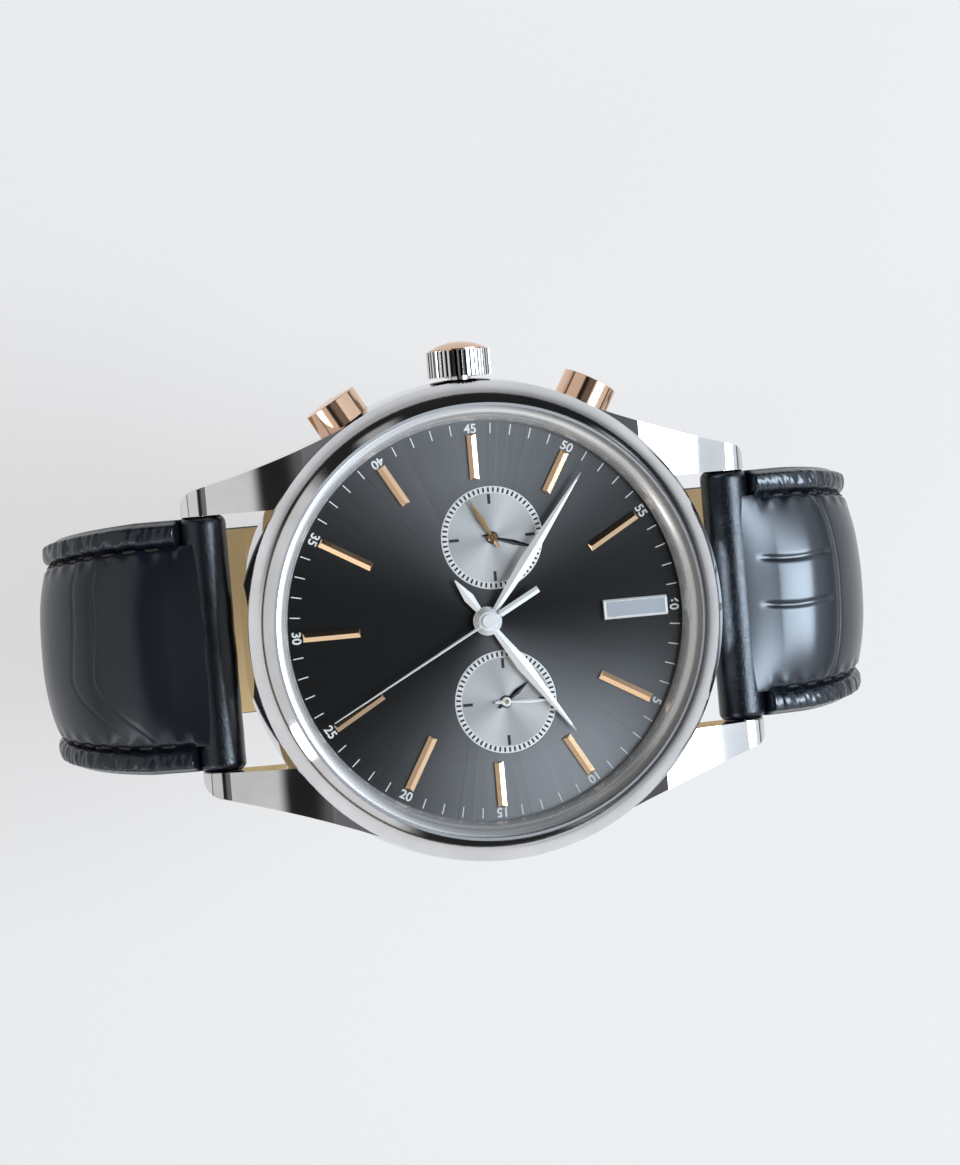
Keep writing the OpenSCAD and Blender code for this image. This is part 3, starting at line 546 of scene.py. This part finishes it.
# ---------- materials of the carried-over nodes ----------
LOOKS = {
    "steel": STEEL, "rose_gold": GOLD, "sapphire": GLASS, "rubber": RUBBER, "dial_black": DIAL,
    "hand_white": HAND, "hand_dark": HAND_DARK, "brass": BRASS, "leather": LEATHER, "lining": LINING,
    "silver_dial": INLAY,
}
CROWN_LO, CROWN_HI = mm_box("crown")
CROWN_AXIS = (CROWN_LO[2] + CROWN_HI[2]) / 2
CROWN_R = (CROWN_HI[0] - CROWN_LO[0]) / 2
OWN = {
    "train_bridge": NICKEL, "balance_cock": NICKEL, "rotor": NICKEL, "movement_ring": NICKEL,
    "case_back": brushed("case_back_grain", (0.7, 0.7, 0.71), 0.22),
    "crystal_gasket": paint("gasket_grey", (0.35, 0.35, 0.36), 0.5),
    "hand_cap": HAND, "twelve_marker": HAND,
    "crown": flutes_painted_shade("crown_flutes", (0.84, 0.84, 0.85), CROWN_AXIS, CROWN_R),
}
SLOT_OF = {s["node"]: s["material_slot"] for s in frame["record"]["subparts"]}
for node_name, ob in NODES.items():
    ob.data.materials.clear()
    ob.data.materials.append(OWN.get(node_name) or LOOKS[SLOT_OF[node_name]])


# ---------- dial: subdials, printing, inlay ----------
def clock(c, r, centre=(0, 0)):
    a = math.radians(-c)
    return (centre[0] + r * math.cos(a), centre[1] + r * math.sin(a))


def radial_bars(name, marks, z, lift, centre, material, body="case"):
    """marks = [(clock angle, inner radius, outer radius, width)] as thin printed bars."""
    verts, faces = [], []
    for c, r0, r1, w in marks:
        a = math.radians(-c)
        d, s = (math.cos(a), math.sin(a)), (-math.sin(a), math.cos(a))
        b = len(verts)
        for zz in (z, z + lift):
            for r, side in ((r0, -1), (r1, -1), (r1, 1), (r0, 1)):
                verts.append((centre[0] + d[0] * r + s[0] * side * w / 2,
                              centre[1] + d[1] * r + s[1] * side * w / 2, zz))
        faces += [(b + 3, b + 2, b + 1, b), (b + 4, b + 5, b + 6, b + 7)]
        faces += box_sides(b)
    return finish_piece(add_mesh(name, verts, faces), material, body)


INK_LIFT = 0.02
TICK_IN, TICK_OUT, TICK_W = 16.15, 17.05, 0.09
ticks = [(6 * i, TICK_IN, TICK_OUT, TICK_W) for i in range(60) if i % 5]
radial_bars("minute_ticks", ticks, DIAL_TOP, INK_LIFT, (0, 0), WHITE_INK)


def numeral(text, c, r, size, z):
    """Printed number standing on the dial, its top towards the rim."""
    data = bpy.data.curves.new("minute_number_" + text, "FONT")
    data.body = text
    data.size = size * MM
    data.extrude = INK_LIFT * MM / 2
    data.offset = 0.025 * MM
    data.align_x = data.align_y = "CENTER"
    ob = bpy.data.objects.new("minute_number_" + text, data)
    x, y = clock(c, r)
    turn = math.radians(-c) - PI / 2
    if 90 < c < 270:
        turn += PI
    place = Matrix.Translation((x * MM, y * MM, (z + INK_LIFT / 2) * MM))
    ob.matrix_world = place @ Matrix.Rotation(turn, 4, "Z")
    bpy.context.scene.collection.objects.link(ob)
    ob.data.materials.append(WHITE_INK)
    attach(ob, "case")


NUMERAL_AT, NUMERAL_SIZE = 16.55, 1.1
for k in range(1, 13):
    numeral(str(5 * k), 30 * k, NUMERAL_AT, NUMERAL_SIZE, DIAL_TOP)

SUB_TOP = mm_box("subdial_3")[1][2]
BATON_W = 0.78
BATON_ROOF, BATON_SLOPE = 0.16, 0.15
LONG_BATON, SHORT_BATON = (11.02, 15.98), (12.22, 16.08)
SHORT_HOURS = (2, 3, 8, 9, 10)


def batons(name, node):
    """Applied hour markers: bars with a roof ridge and sloping ends."""
    lo, hi = mm_box(node)
    half, foot, top = BATON_W / 2, lo[2], hi[2]
    eaves = top - BATON_ROOF
    verts, faces = [], []
    for k in range(1, 12):
        inner, outer = SHORT_BATON if k in SHORT_HOURS else LONG_BATON
        b = len(verts)
        a = math.radians(-30 * k)
        for r, side, z in ((inner, -1, foot), (outer, -1, foot), (outer, 1, foot), (inner, 1, foot),
                           (inner, -1, eaves), (outer, -1, eaves), (outer, 1, eaves), (inner, 1, eaves),
                           (inner + BATON_SLOPE, 0, top), (outer - BATON_SLOPE, 0, top)):
            verts.append((r * math.cos(a) - side * half * math.sin(a),
                          r * math.sin(a) + side * half * math.cos(a), z))
        faces += [(b + 3, b + 2, b + 1, b)] + box_sides(b)
        faces += [(b + 4, b + 5, b + 9, b + 8), (b + 6, b + 7, b + 8, b + 9),
                  (b + 5, b + 6, b + 9), (b + 7, b + 4, b + 8)]
    return finish_piece(add_mesh(name, verts, faces, 5), GOLD_BRIGHT, "case", [node])


batons("hour_batons", "hour_markers")


CHAPTER_W = 0.62


def subdial(name, node, centre, sheen_rays):
    """Silver sunray disc with painted highlight rays, a raised rim, a white chapter ring and a railroad
    track.
    """
    c = (centre[0], centre[1])
    base = mm_box(node)[0][2]
    hole = 0.55
    face = SUB_R - CHAPTER_W
    profile = [(hole, base), (hole, SUB_TOP), (face, SUB_TOP + 0.01), (face, base)]
    verts, faces = lathe(profile, 160, c)
    look = sunray_painted_sheen(name + "_silver", (0.36, 0.365, 0.37), (0.72, 0.72, 0.715), sheen_rays, c,
                    rough=0.3, metallic=0.4)
    finish_piece(add_mesh(name, verts, faces), look, "case", [node])
    ring = [(face + 0.005, base), (face + 0.005, SUB_TOP + 0.03), (SUB_R - 0.08, SUB_TOP + 0.03),
            (SUB_R - 0.02, SUB_TOP), (SUB_R - 0.02, base)]
    verts, faces = lathe(ring, 160, c)
    finish_piece(add_mesh(name + "_chapter", verts, faces), WHITE_INK, "case")
    marks = [(6 * i, face + 0.08, SUB_R - 0.14, 0.17) for i in range(60)]
    radial_bars(name + "_track", marks, SUB_TOP + 0.03, 0.012, c, BLACK_INK)
    bars = [(a, face - 0.95, face - 0.1, 0.26) for a in (0, 90, 180, 270)]
    radial_bars(name + "_bars", bars, SUB_TOP + 0.01, 0.015, c, BLACK_INK)


# Painted highlight: four bright rays of reflected light painted into both subdials' silver.
SUB_SHEEN_RAYS = [(math.radians(60), 5.0, 0.9), (math.radians(-25), 5.0, 0.8), (math.radians(150), 5.0, 0.6),
        (math.radians(-120), 5.0, 0.9)]
subdial("subdial_3_face", "subdial_3", SUB_3, SUB_SHEEN_RAYS)
subdial("subdial_9_face", "subdial_9", SUB_9, SUB_SHEEN_RAYS)

lo12, hi12 = mm_box("twelve_marker")
INSET = 0.2
inlay = [(lo12[0] + INSET, lo12[1] + INSET), (hi12[0] - INSET, lo12[1] + INSET),
         (hi12[0] - INSET, hi12[1] - INSET), (lo12[0] + INSET, hi12[1] - INSET)]
verts = [(x, y, hi12[2] + dz) for dz in (-0.05, 0.015) for x, y in inlay]
faces = [(3, 2, 1, 0), (4, 5, 6, 7)] + box_sides()
finish_piece(add_mesh("twelve_inlay", verts, faces), INLAY, "case")

# Rounded ring between the dial and the crystal
lo_r, hi_r = mm_box("rehaut_ring")
RING_OUT = hi_r[0]
ARC_STEPS = 20
ARC_FULLNESS = 0.9
arc = [(RING_OUT - (RING_OUT - DIAL_EDGE) * math.cos(PI / 2 * i / ARC_STEPS) ** ARC_FULLNESS,
        lo_r[2] + (hi_r[2] - lo_r[2]) * math.sin(PI / 2 * i / ARC_STEPS) ** ARC_FULLNESS)
       for i in range(ARC_STEPS + 1)]
verts, faces = lathe([(RING_OUT, lo_r[2])] + arc, 256)
faces = [tuple(reversed(f)) for f in faces]
finish_piece(add_mesh("rehaut_rounded", verts, faces, 60), REHAUT, "case", ["rehaut_ring"])


# ---------- hands ----------
def ridge_hand(name, node, body, material, stations, c, z0, t, hub, centre=(0, 0), post=None):
    """Faceted hand. stations = [(distance, half width, ridge height)], hub = (inner and outer
    radius, foot, top), post = (inner and outer radius, foot)."""
    a = math.radians(-c)
    d, s = (math.cos(a), math.sin(a)), (-math.sin(a), math.cos(a))

    def put(x, y, z):
        return (centre[0] + d[0] * x + s[0] * y, centre[1] + d[1] * x + s[1] * y, z)

    side_z = z0 + t * 0.3
    rings = [[put(x, -w, z0), put(x, w, z0), put(x, w, side_z), put(x, 0, z0 + t * k),
              put(x, -w, side_z)] for x, w, k in stations]
    verts, faces = loft(rings)
    faces = [tuple(reversed(f)) for f in faces]
    r_in, r_out, low, high = hub
    n = len(verts)
    edge = 0.06
    hv, hf = lathe([(r_in, low), (r_in, high - edge), (r_in + edge, high), (r_out - 2 * edge, high),
                    (r_out, high - 2 * edge), (r_out, low)], 96, centre)
    verts = verts + hv
    faces = faces + [tuple(i + n for i in f) for f in hf]
    if post:
        n = len(verts)
        inner, outer, foot = post
        hv, hf = lathe([(inner, foot), (inner, low), (outer, low), (outer, foot)], 48, centre)
        verts = verts + hv
        faces = faces + [tuple(i + n for i in f) for f in hf]
    ob = add_mesh(name, verts, faces, 20)
    return finish_piece(ob, material, body, [node])


HAND_T = 0.2
hour_z = mm_box("hour_hand")[0][2]
minute_z = mm_box("minute_hand")[0][2]
chrono_z = mm_box("hand_cap")[0][2] - 0.2
HOUR_AT, MINUTE_AT, CHRONO_AT = 55.6, 307.2, 152.0
ridge_hand("hour_hand_leaf", "hour_hand", "hours", HAND,
           [(-4.5, 0.06, 0.7), (-2.6, 0.46, 1.0), (-0.6, 0.2, 1.0), (0.6, 0.24, 1.0), (4.9, 0.58, 1.0),
            (11.6, 0.1, 0.8), (12.3, 0.02, 0.5)], HOUR_AT, hour_z, HAND_T, (0.96, 1.25, hour_z, hour_z + 0.2))
ridge_hand("minute_hand_leaf", "minute_hand", "minutes", HAND,
           [(0.7, 0.22, 1.0), (6.0, 0.53, 1.0), (14.4, 0.09, 0.8), (15.1, 0.02, 0.5)],
           MINUTE_AT, minute_z, HAND_T, (0.73, 1.1, minute_z, minute_z + 0.2))
ridge_hand("chrono_hand_needle", "chrono_hand", "chrono", HAND,
           [(-5.1, 0.3, 1.0), (-1.2, 0.3, 1.0), (-1.1, 0.1, 1.0), (1.0, 0.12, 1.0), (15.9, 0.05, 1.0)],
           CHRONO_AT, chrono_z, 0.12, (0.4, 0.95, chrono_z, chrono_z + 0.17))


SUB_HANDS_TOP = mm_box("small_seconds_hand")[1][2]
COUNTER_HAND_T = 0.12


def counter_hand(name, node, body, length, tail, width, c, centre, material):
    """Subdial hand at the top of its node's box, on a post as deep as the box."""
    foot, top = mm_box(node)[0][2], mm_box(node)[1][2]
    z = top - COUNTER_HAND_T
    stations = [(-tail, 0.1, 1.0), (-tail * 0.4, 0.16, 1.0), (0.3, 0.1, 1.0),
                (length * 0.5, width, 1.0), (length, 0.03, 0.7)]
    if top > SUB_HANDS_TOP - 0.01:
        # The upper hand's hub and post are solid and pass through the lower hand
        hub, post = (0.0, 0.42, z, top), (0.0, 0.22, foot)
    else:
        hub, post = (0.26, 0.5, z, top), (0.26, 0.36, foot)
    ridge_hand(name, node, body, material, stations, c, z, COUNTER_HAND_T, hub, centre, post)


SUB_3C, SUB_9C = (SUB_3[0], SUB_3[1]), (SUB_9[0], SUB_9[1])
counter_hand("small_seconds_hand_leaf", "small_seconds_hand", "seconds", 4.0, 1.0, 0.2, 2.5, SUB_3C, HAND)
counter_hand("day_hand_leaf", "day_hand", "day", 2.6, 0.8, 0.24, 323, SUB_3C, HAND_DARK)
counter_hand("counter_minute_leaf", "counter_minute_hand", "count_minutes", 3.9, 1.0, 0.24, 242,
             SUB_9C, GOLD_DARK)
counter_hand("counter_hour_leaf", "counter_hour_hand", "count_hours", 3.9, 0.8, 0.22, 17,
             SUB_9C, HAND_DARK)


# ---------- strap path (as in the part) ----------
KNEE_Z = 14.65
BEND = 65.0
SHORT_REST, LONG_REST = 4.4, 3.45
FINE_STEP, COARSE_STEP, FINE_TO = 0.11, 0.6, 14


def strap_path(long_side):
    """Centre line of one strap half: list of (s, x, height above the table, heading).
    Pieces are (length, 0), ("to", x) or (None, radius, turn in degrees)."""
    x, z, h = BAR_X, BAR_Z - TABLE, -12.0
    rest = LONG_REST if long_side else SHORT_REST
    bend_r = (KNEE_Z - rest) / (1 - math.cos(math.radians(BEND)))
    pieces = [(3.5, 0.0), (None, 10.0, 78.0), (None, 55.0, 25.0), (None, bend_r, BEND)]
    if long_side:
        low = 8.8
        pieces += [("to", 8.4), (None, low, -23.4), (None, low, 23.4), ("to", -13.3),
                   (None, bend_r + 2.4, 65.0), (None, 57.4, 6.0)]
    else:
        pieces += [("to", 0.0)]
    out = [(0.0, x, z, h)]
    s = 0.0

    def straight(length):
        nonlocal x, z, s
        n = max(1, round(length / (FINE_STEP if s < FINE_TO else COARSE_STEP)))
        for _ in range(n):
            x += length / n * math.cos(math.radians(h))
            z += length / n * math.sin(math.radians(h))
            s += length / n
            out.append((s, x, z, h))

    for p in pieces:
        if p[0] == "to":
            straight(abs(x - p[1]))
        elif p[0] is None:
            radius, turn = p[1], p[2]
            length = radius * math.radians(abs(turn))
            n = max(2, round(length / (FINE_STEP if s < FINE_TO else COARSE_STEP)))
            side = -1 if turn > 0 else 1
            for _ in range(n):
                d = math.radians(abs(turn) / n)
                chord = 2 * radius * math.sin(d / 2)
                mid = math.radians(h) + side * d / 2
                x += chord * math.cos(mid)
                z += chord * math.sin(mid)
                h += side * math.degrees(d)
                s += length / n
                out.append((s, x, z, h))
        else:
            straight(p[0])
    return out


# ---------- leather strap ----------
PATH_12 = strap_path(False)
PATH_6 = strap_path(True)
PAD_RISE = 1.45
ROLL_R = 2.05
PAD_FADE = 30, 46
LINING_T = 0.7
PIPING_W = 2.2
HEAD_HALF_WIDTH = 10.9
TAIL_HALF_WIDTH = 9.0
STITCH = 1.75
# Creases along the 12 side's pad: across, start, end; across the 6 side's pad: place, depth
LONG_CREASES = (3.0, 1.4, 8.4), (-1.15, 1.4, 8.2)
CROSS_CREASES = (9.0, 0.06), (10.9, 0.045)


def thick(s):
    """The strap's thickness at a distance from the spring bar."""
    for (a, ta), (b, tb) in (((0, 3.8), (6, 4.0)), ((6, 4.0), (14, 3.9)), ((14, 3.9), (45, 2.1))):
        if s <= b:
            return ta + (tb - ta) * (s - a) / (b - a)
    return 2.1


def half_width(z):
    """Half the strap's width at a height above the table."""
    steps = ((7.0, 9.2), (37.0, 9.6), (47.0, HEAD_HALF_WIDTH), (60.0, HEAD_HALF_WIDTH))
    if z <= steps[0][0]:
        return steps[0][1]
    for (a, wa), (b, wb) in zip(steps, steps[1:]):
        if z <= b:
            return wa + (wb - wa) * (z - a) / (b - a)
    return steps[-1][1]


def edge_width(x, z, side):
    """Half the width of the black leather, which is even along the 6 side's far end."""
    return TAIL_HALF_WIDTH if side < 0 and x < 0 else half_width(z)


def normal(h):
    """Outward direction (x, z) at a heading in degrees."""
    return -math.sin(math.radians(h)), math.cos(math.radians(h))


def piping_width(w):
    return PIPING_W * min(1.0, w / HEAD_HALF_WIDTH + 0.05)


def outer_line(s):
    """The layer's outer line, over the strap's centre line."""
    return thick(s) / 2 - 0.35 * smooth(0.5, 4.6, s) * (1 - smooth(*PAD_FADE, s)) - 0.05


def crease(d, width, depth):
    return -depth * math.exp(-(d / width) ** 2)


def top_height(s, y, w, side):
    """Height of the outer face over the layer's outer line, and how far it is in the side strip."""
    v = abs(y)
    piping = piping_width(w)
    seam = w - piping
    start = smooth(-1.0, 6.5, s)
    strip_start = smooth(1.75, 2.35, s)
    fade = 1.0 - smooth(*PAD_FADE, s)
    if v < seam:
        edge = (v / seam) ** 2.8
        pad = PAD_RISE * fade * start * math.sqrt(max(0.0, 1 - edge)) * (0.75 + 0.25 * (1 - (v / seam) ** 2))
        strip = 0.0
    else:
        u = (v - seam) / piping
        pad = (0.12 + 0.45 * fade * strip_start) * math.sqrt(max(0.0, 1 - (2 * u - 1) ** 2 * 0.98))
        pad -= 1.3 * (1 - strip_start)
        strip = strip_start
    wrinkle = noise.noise(Vector((s * 1.25, v * 0.5, 3.1 * (1 + (y > 0)) + side * 7)))
    fine = noise.noise(Vector((s * 3.1 + y * 0.8, v * 0.9, 9.0 + side * 5)))
    if strip:
        pad += fade * strip_start * (0.14 * wrinkle + 0.1 * fine)
    # Puckers where each stitch pulls the pad down
    near = math.exp(-((v - (seam - 0.3)) / 0.75) ** 2)
    pucker = math.cos(2 * PI * s / STITCH)
    pad += near * fade * strip_start * 0.09 * pucker
    pad += crease(v - seam, 0.26, 0.3) * strip_start
    if side > 0:
        bow = 0.9 * (v / seam) ** 3 if v < seam else 0.9
        pad += crease(s - (8.6 - bow), 0.16, 0.12) * start * (1 - strip)
        wave = 0.12 * math.sin(s)
        for yy, a, b in LONG_CREASES:
            pad += crease(y - yy - wave, 0.22, 0.13) * smooth(a, a + 1.5, s) * (1 - smooth(b - 1, b, s))
    else:
        for at, depth in CROSS_CREASES:
            bend = at - 4.4 * smooth(2.0, 10.0, -y) - 1.2 * smooth(5.0, 10.0, y) - 0.3 * math.sin(y * 0.5)
            pad += crease(s - bend, 0.16, depth) * start * (1 - strip)
    pad += 0.05 * start * noise.noise(Vector((s * 0.22, y * 0.25, 1.3 + side)))
    return pad, strip


def strap_upper(name, path, side, nodes, material):
    """Leather body lofted along the path: flat lining face below, padded face above."""
    rings, lay = [], []
    columns = 150
    for s, x, z, h in path:
        w = edge_width(x, z, side)
        nx, nz = normal(h)
        ring, marks = [], []
        outer = outer_line(s)
        for i in range(columns + 1):
            # Columns lie closer together towards the edges
            u = 2 * i / columns - 1
            y = w * math.sin(PI / 2 * u * 0.999) * 0.35 + 0.65 * w * u
            rise, strip = top_height(s, y, w, side)
            soft = 1 - smooth(w - 0.45, w, abs(y)) * 0.75
            off = outer * (0.55 + 0.45 * soft) + rise * soft - 0.1 * (1 - soft)
            ring.append((x + nx * off, y, z + nz * off))
            marks.append((s, y, strip))
        face = LINING_T - thick(s) / 2
        edge = (w + 0.02, 0.15), (w, face + 0.25), (w - 0.35, face)
        for y, off in edge:
            ring.append((x + nx * off, y, z + nz * off))
            marks.append((s, w + outer - off, 1.0))
        for y, off in reversed(edge):
            ring.append((x + nx * off, -y, z + nz * off))
            marks.append((s, -w - outer + off, 1.0))
        rings.append([(side * p[0], p[1], p[2] + TABLE) for p in ring])
        lay += marks
    verts, faces = loft(rings)
    if side > 0:
        faces = [tuple(reversed(f)) for f in faces]
    ob = add_mesh(name, verts, faces, 50, {"lay": lay})
    finish_piece(ob, material, "case", nodes)
    return ob


def roll(name, side):
    """Glossy fold of leather round the spring bar, across the full width, in a darker copy of the leather:
    painted shade.
    """
    w = STRAP_W / 2 + 0.15
    rings, lay = [], []
    n = 44
    stations = 90
    for k in range(stations + 1):
        y = -w + 2 * w * k / stations
        end = smooth(0, 0.55, w - abs(y))
        r = ROLL_R * (0.8 + 0.2 * math.sqrt(end)) + 0.05 * noise.noise(Vector((y * 0.4, 2.0 * side, 0.0)))
        ring = []
        for j in range(n):
            a = 2 * PI * j / n
            ring.append((side * (BAR_X + r * math.cos(a)), y, BAR_Z + r * math.sin(a)))
            lay.append((a * r, y, 0.15))
        rings.append(ring)
    verts, faces = loft(rings)
    if side < 0:
        faces = [tuple(reversed(f)) for f in faces]
    ob = add_mesh(name, verts, faces, 60, {"lay": lay})
    return finish_piece(ob, LEATHER_GLOSS_SHADED, "case")


def lining(name, path, side, nodes):
    """Tan sheet under the black leather. It starts 11 mm from the bar on the 12 side and 3.2 mm on the 6
    side; nearer the case the black leather's underside shows instead, so the gap beside the case is darker
    there.
    """
    rings, lay = [], []
    for s, x, z, h in path:
        if s < (11.0 if side > 0 else 3.2):
            continue
        w = half_width(z) - 0.12
        if side < 0 and x < 0:
            w = 8.9
        foot = -thick(s) / 2
        nx, nz = normal(h)
        ring = []
        for y, off in ((-w, foot + 0.12), (-w, foot + LINING_T - 0.01), (w, foot + LINING_T - 0.01),
                       (w, foot + 0.12), (w - 0.15, foot), (0.0, foot - 0.02), (-w + 0.15, foot)):
            ring.append((side * (x + nx * off), y, z + nz * off + TABLE))
            lay.append((s, y, 0.0))
        rings.append(ring)
    verts, faces = loft(rings)
    if side < 0:
        faces = [tuple(reversed(f)) for f in faces]
    ob = add_mesh(name, verts, faces, 40, {"lay": lay})
    return finish_piece(ob, LINING, "case", nodes)


# Painted shade: the roll's leather is a darker copy of the strap's black leather, and glossier.
LEATHER_GLOSS_SHADED = leather("leather_roll", (0.002, 0.0026, 0.005), (0.005, 0.0065, 0.012), 0.2,
                        wrinkle=0.5, coat=0.15)
upper_12 = strap_upper("strap_12_leather", PATH_12, 1, ["strap_12_upper"], LEATHER_SHINY)
upper_6 = strap_upper("strap_6_leather", PATH_6, -1, ["strap_6_upper"], LEATHER)
roll("strap_12_roll", 1)
roll("strap_6_roll", -1)
inner_12 = lining("strap_12_inner", PATH_12, 1, ["strap_12_lining"])
inner_6 = lining("strap_6_inner", PATH_6, -1, ["strap_6_lining"])


THREAD_LENGTH = 1.15


def stitches(name, path, side, s0, s1):
    """Two rows of sewn thread in the grooves beside the pad."""
    verts, faces = [], []
    count = int((s1 - s0) / STITCH)
    for row in (-1, 1):
        for k in range(count):
            s_mid = s0 + (k + 0.5) * STITCH
            rings = []
            for j in range(7):
                u = j / 6 - 0.5
                s = s_mid + u * THREAD_LENGTH
                i = next(n for n in range(len(path) - 1) if path[n + 1][0] >= s)
                a, b = path[i], path[i + 1]
                f = (s - a[0]) / (b[0] - a[0])
                x, z, h = (a[m] + (b[m] - a[m]) * f for m in (1, 2, 3))
                w = edge_width(x, z, side)
                seam = w - piping_width(w) - 0.18
                rise = top_height(s, row * seam, w, side)[0]
                lift = outer_line(s) + rise + 0.1 - 0.22 * (2 * u) ** 4
                nx, nz = normal(h)
                r = 0.17 * math.sqrt(max(0.02, 1 - (1.9 * u) ** 4))
                ring = []
                for m in range(8):
                    round_at = 2 * PI * m / 8
                    o = lift + r * math.sin(round_at)
                    ring.append((side * (x + nx * o), row * seam + r * math.cos(round_at),
                                 z + nz * o + TABLE))
                rings.append(ring)
            v, f = loft(rings)
            base = len(verts)
            verts += v
            faces += [tuple(i + base for i in q) for q in f]
    ob = add_mesh(name, verts, faces, 60)
    return finish_piece(ob, THREAD, "case")


stitches("strap_12_thread", PATH_12, 1, 3.4, PATH_12[-1][0] - 7)
stitches("strap_6_thread", PATH_6, -1, 3.4, PATH_6[-1][0] - 2)


# ---------- keepers ----------
def keeper_loop(name, node, body):
    """Leather loop with rounded edges round both strap layers: outside first, then the inside."""
    lo, hi = mm_box(node)
    wall = 0.8
    outer = (hi[1] - 0.02, lo[2] + 0.02, hi[2] - 0.02)
    steps = 14
    rings, lay = [], []
    for k in range(steps + 1):
        u = k / steps
        x = lo[0] + 0.03 + (hi[0] - lo[0] - 0.06) * u
        edge = 0.22 * (2 * u - 1) ** 8
        crown = 0.1 * (1 - (2 * u - 1) ** 4)
        w = outer[0] - edge - 0.1 + crown
        z0 = outer[1] + edge + 0.1 - crown
        z1 = outer[2] - edge - 0.1 + crown
        rings.append(rounded_box_ring(x, w, z0, z1, 0.8))
        lay.append(x)
    for k in range(steps, -1, -1):
        u = k / steps
        x = lo[0] + 0.03 + (hi[0] - lo[0] - 0.06) * u
        edge = 0.22 * (2 * u - 1) ** 8
        w, z0, z1 = hi[1] - wall + edge, lo[2] + wall + 0.1 - edge, hi[2] - wall + edge
        rings.append(rounded_box_ring(x, w, z0, z1, 0.35))
        lay.append(x)
    rings.append(rings[0])
    verts, faces = loft(rings, caps=False)
    n = len(rings[0])
    count = n * (len(rings) - 1)
    verts = verts[:count]
    faces = [tuple(v % count for v in f) for f in faces]
    marks = [(0.45 * (i % n), lay[i // n] * 1.3, 0.25) for i in range(count)]
    ob = add_mesh(name, verts, faces, 50, {"lay": marks})
    return finish_piece(ob, LEATHER, body, [node])


def rounded_box_ring(x, w, z0, z1, r):
    """Closed outline in the YZ plane with rounded corners, counter-clockwise seen from +X."""
    out = []
    corners = ((w - r, z1 - r, 0), (-w + r, z1 - r, 90), (-w + r, z0 + r, 180), (w - r, z0 + r, 270))
    for cy, cz, a0 in corners:
        for i in range(9):
            a = math.radians(a0 + 90 * i / 8)
            out.append((x, cy + r * math.cos(a), cz + r * math.sin(a)))
    return out


keeper_loop("fixed_keeper_loop", "fixed_keeper", "case")
keeper_loop("free_keeper_loop", "free_keeper", "loop")


# ---------- strap holes ----------
def cut(target, tool_name, verts, faces):
    """Boolean cut applied at once, so that the mesh itself has the real hole."""
    tool = add_mesh(tool_name, verts, faces)
    mod = target.modifiers.new("hole", "BOOLEAN")
    mod.operation = "DIFFERENCE"
    mod.solver = "EXACT"
    mod.object = tool
    bpy.context.view_layer.objects.active = target
    target.select_set(True)
    bpy.ops.object.modifier_apply(modifier=mod.name)
    target.select_set(False)
    mesh = tool.data
    bpy.data.objects.remove(tool)
    bpy.data.meshes.remove(mesh)


def box_mesh(lo, hi):
    xs, ys, zs = zip(lo, hi)
    corners = (xs[0], ys[0]), (xs[1], ys[0]), (xs[1], ys[1]), (xs[0], ys[1])
    verts = [(x, y, z) for z in zs for x, y in corners]
    return verts, [(3, 2, 1, 0), (4, 5, 6, 7)] + box_sides()


def rod_mesh(x, y, r, z0, z1, n=32):
    rings = [[(x + r * math.cos(2 * PI * i / n), y + r * math.sin(2 * PI * i / n), z) for i in range(n)]
             for z in (z0, z1)]
    return loft(rings)


# A notch for the buckle bar's middle, a slot for the tang, and the tang's holes
for layer in (upper_12, inner_12):
    cut(layer, "notch", *box_mesh((-3.0, -1.25, TABLE + 1.4), (2.25, 1.25, TABLE + 8)))
for layer in (upper_6, inner_6):
    cut(layer, "slot", *box_mesh((-5.6, -0.85, TABLE - 1), (-0.6, 0.85, TABLE + 7)))
    for x in (-14.8, 2.0):
        cut(layer, "hole", *rod_mesh(x, 0.0, 0.8, TABLE - 1, TABLE + 8))
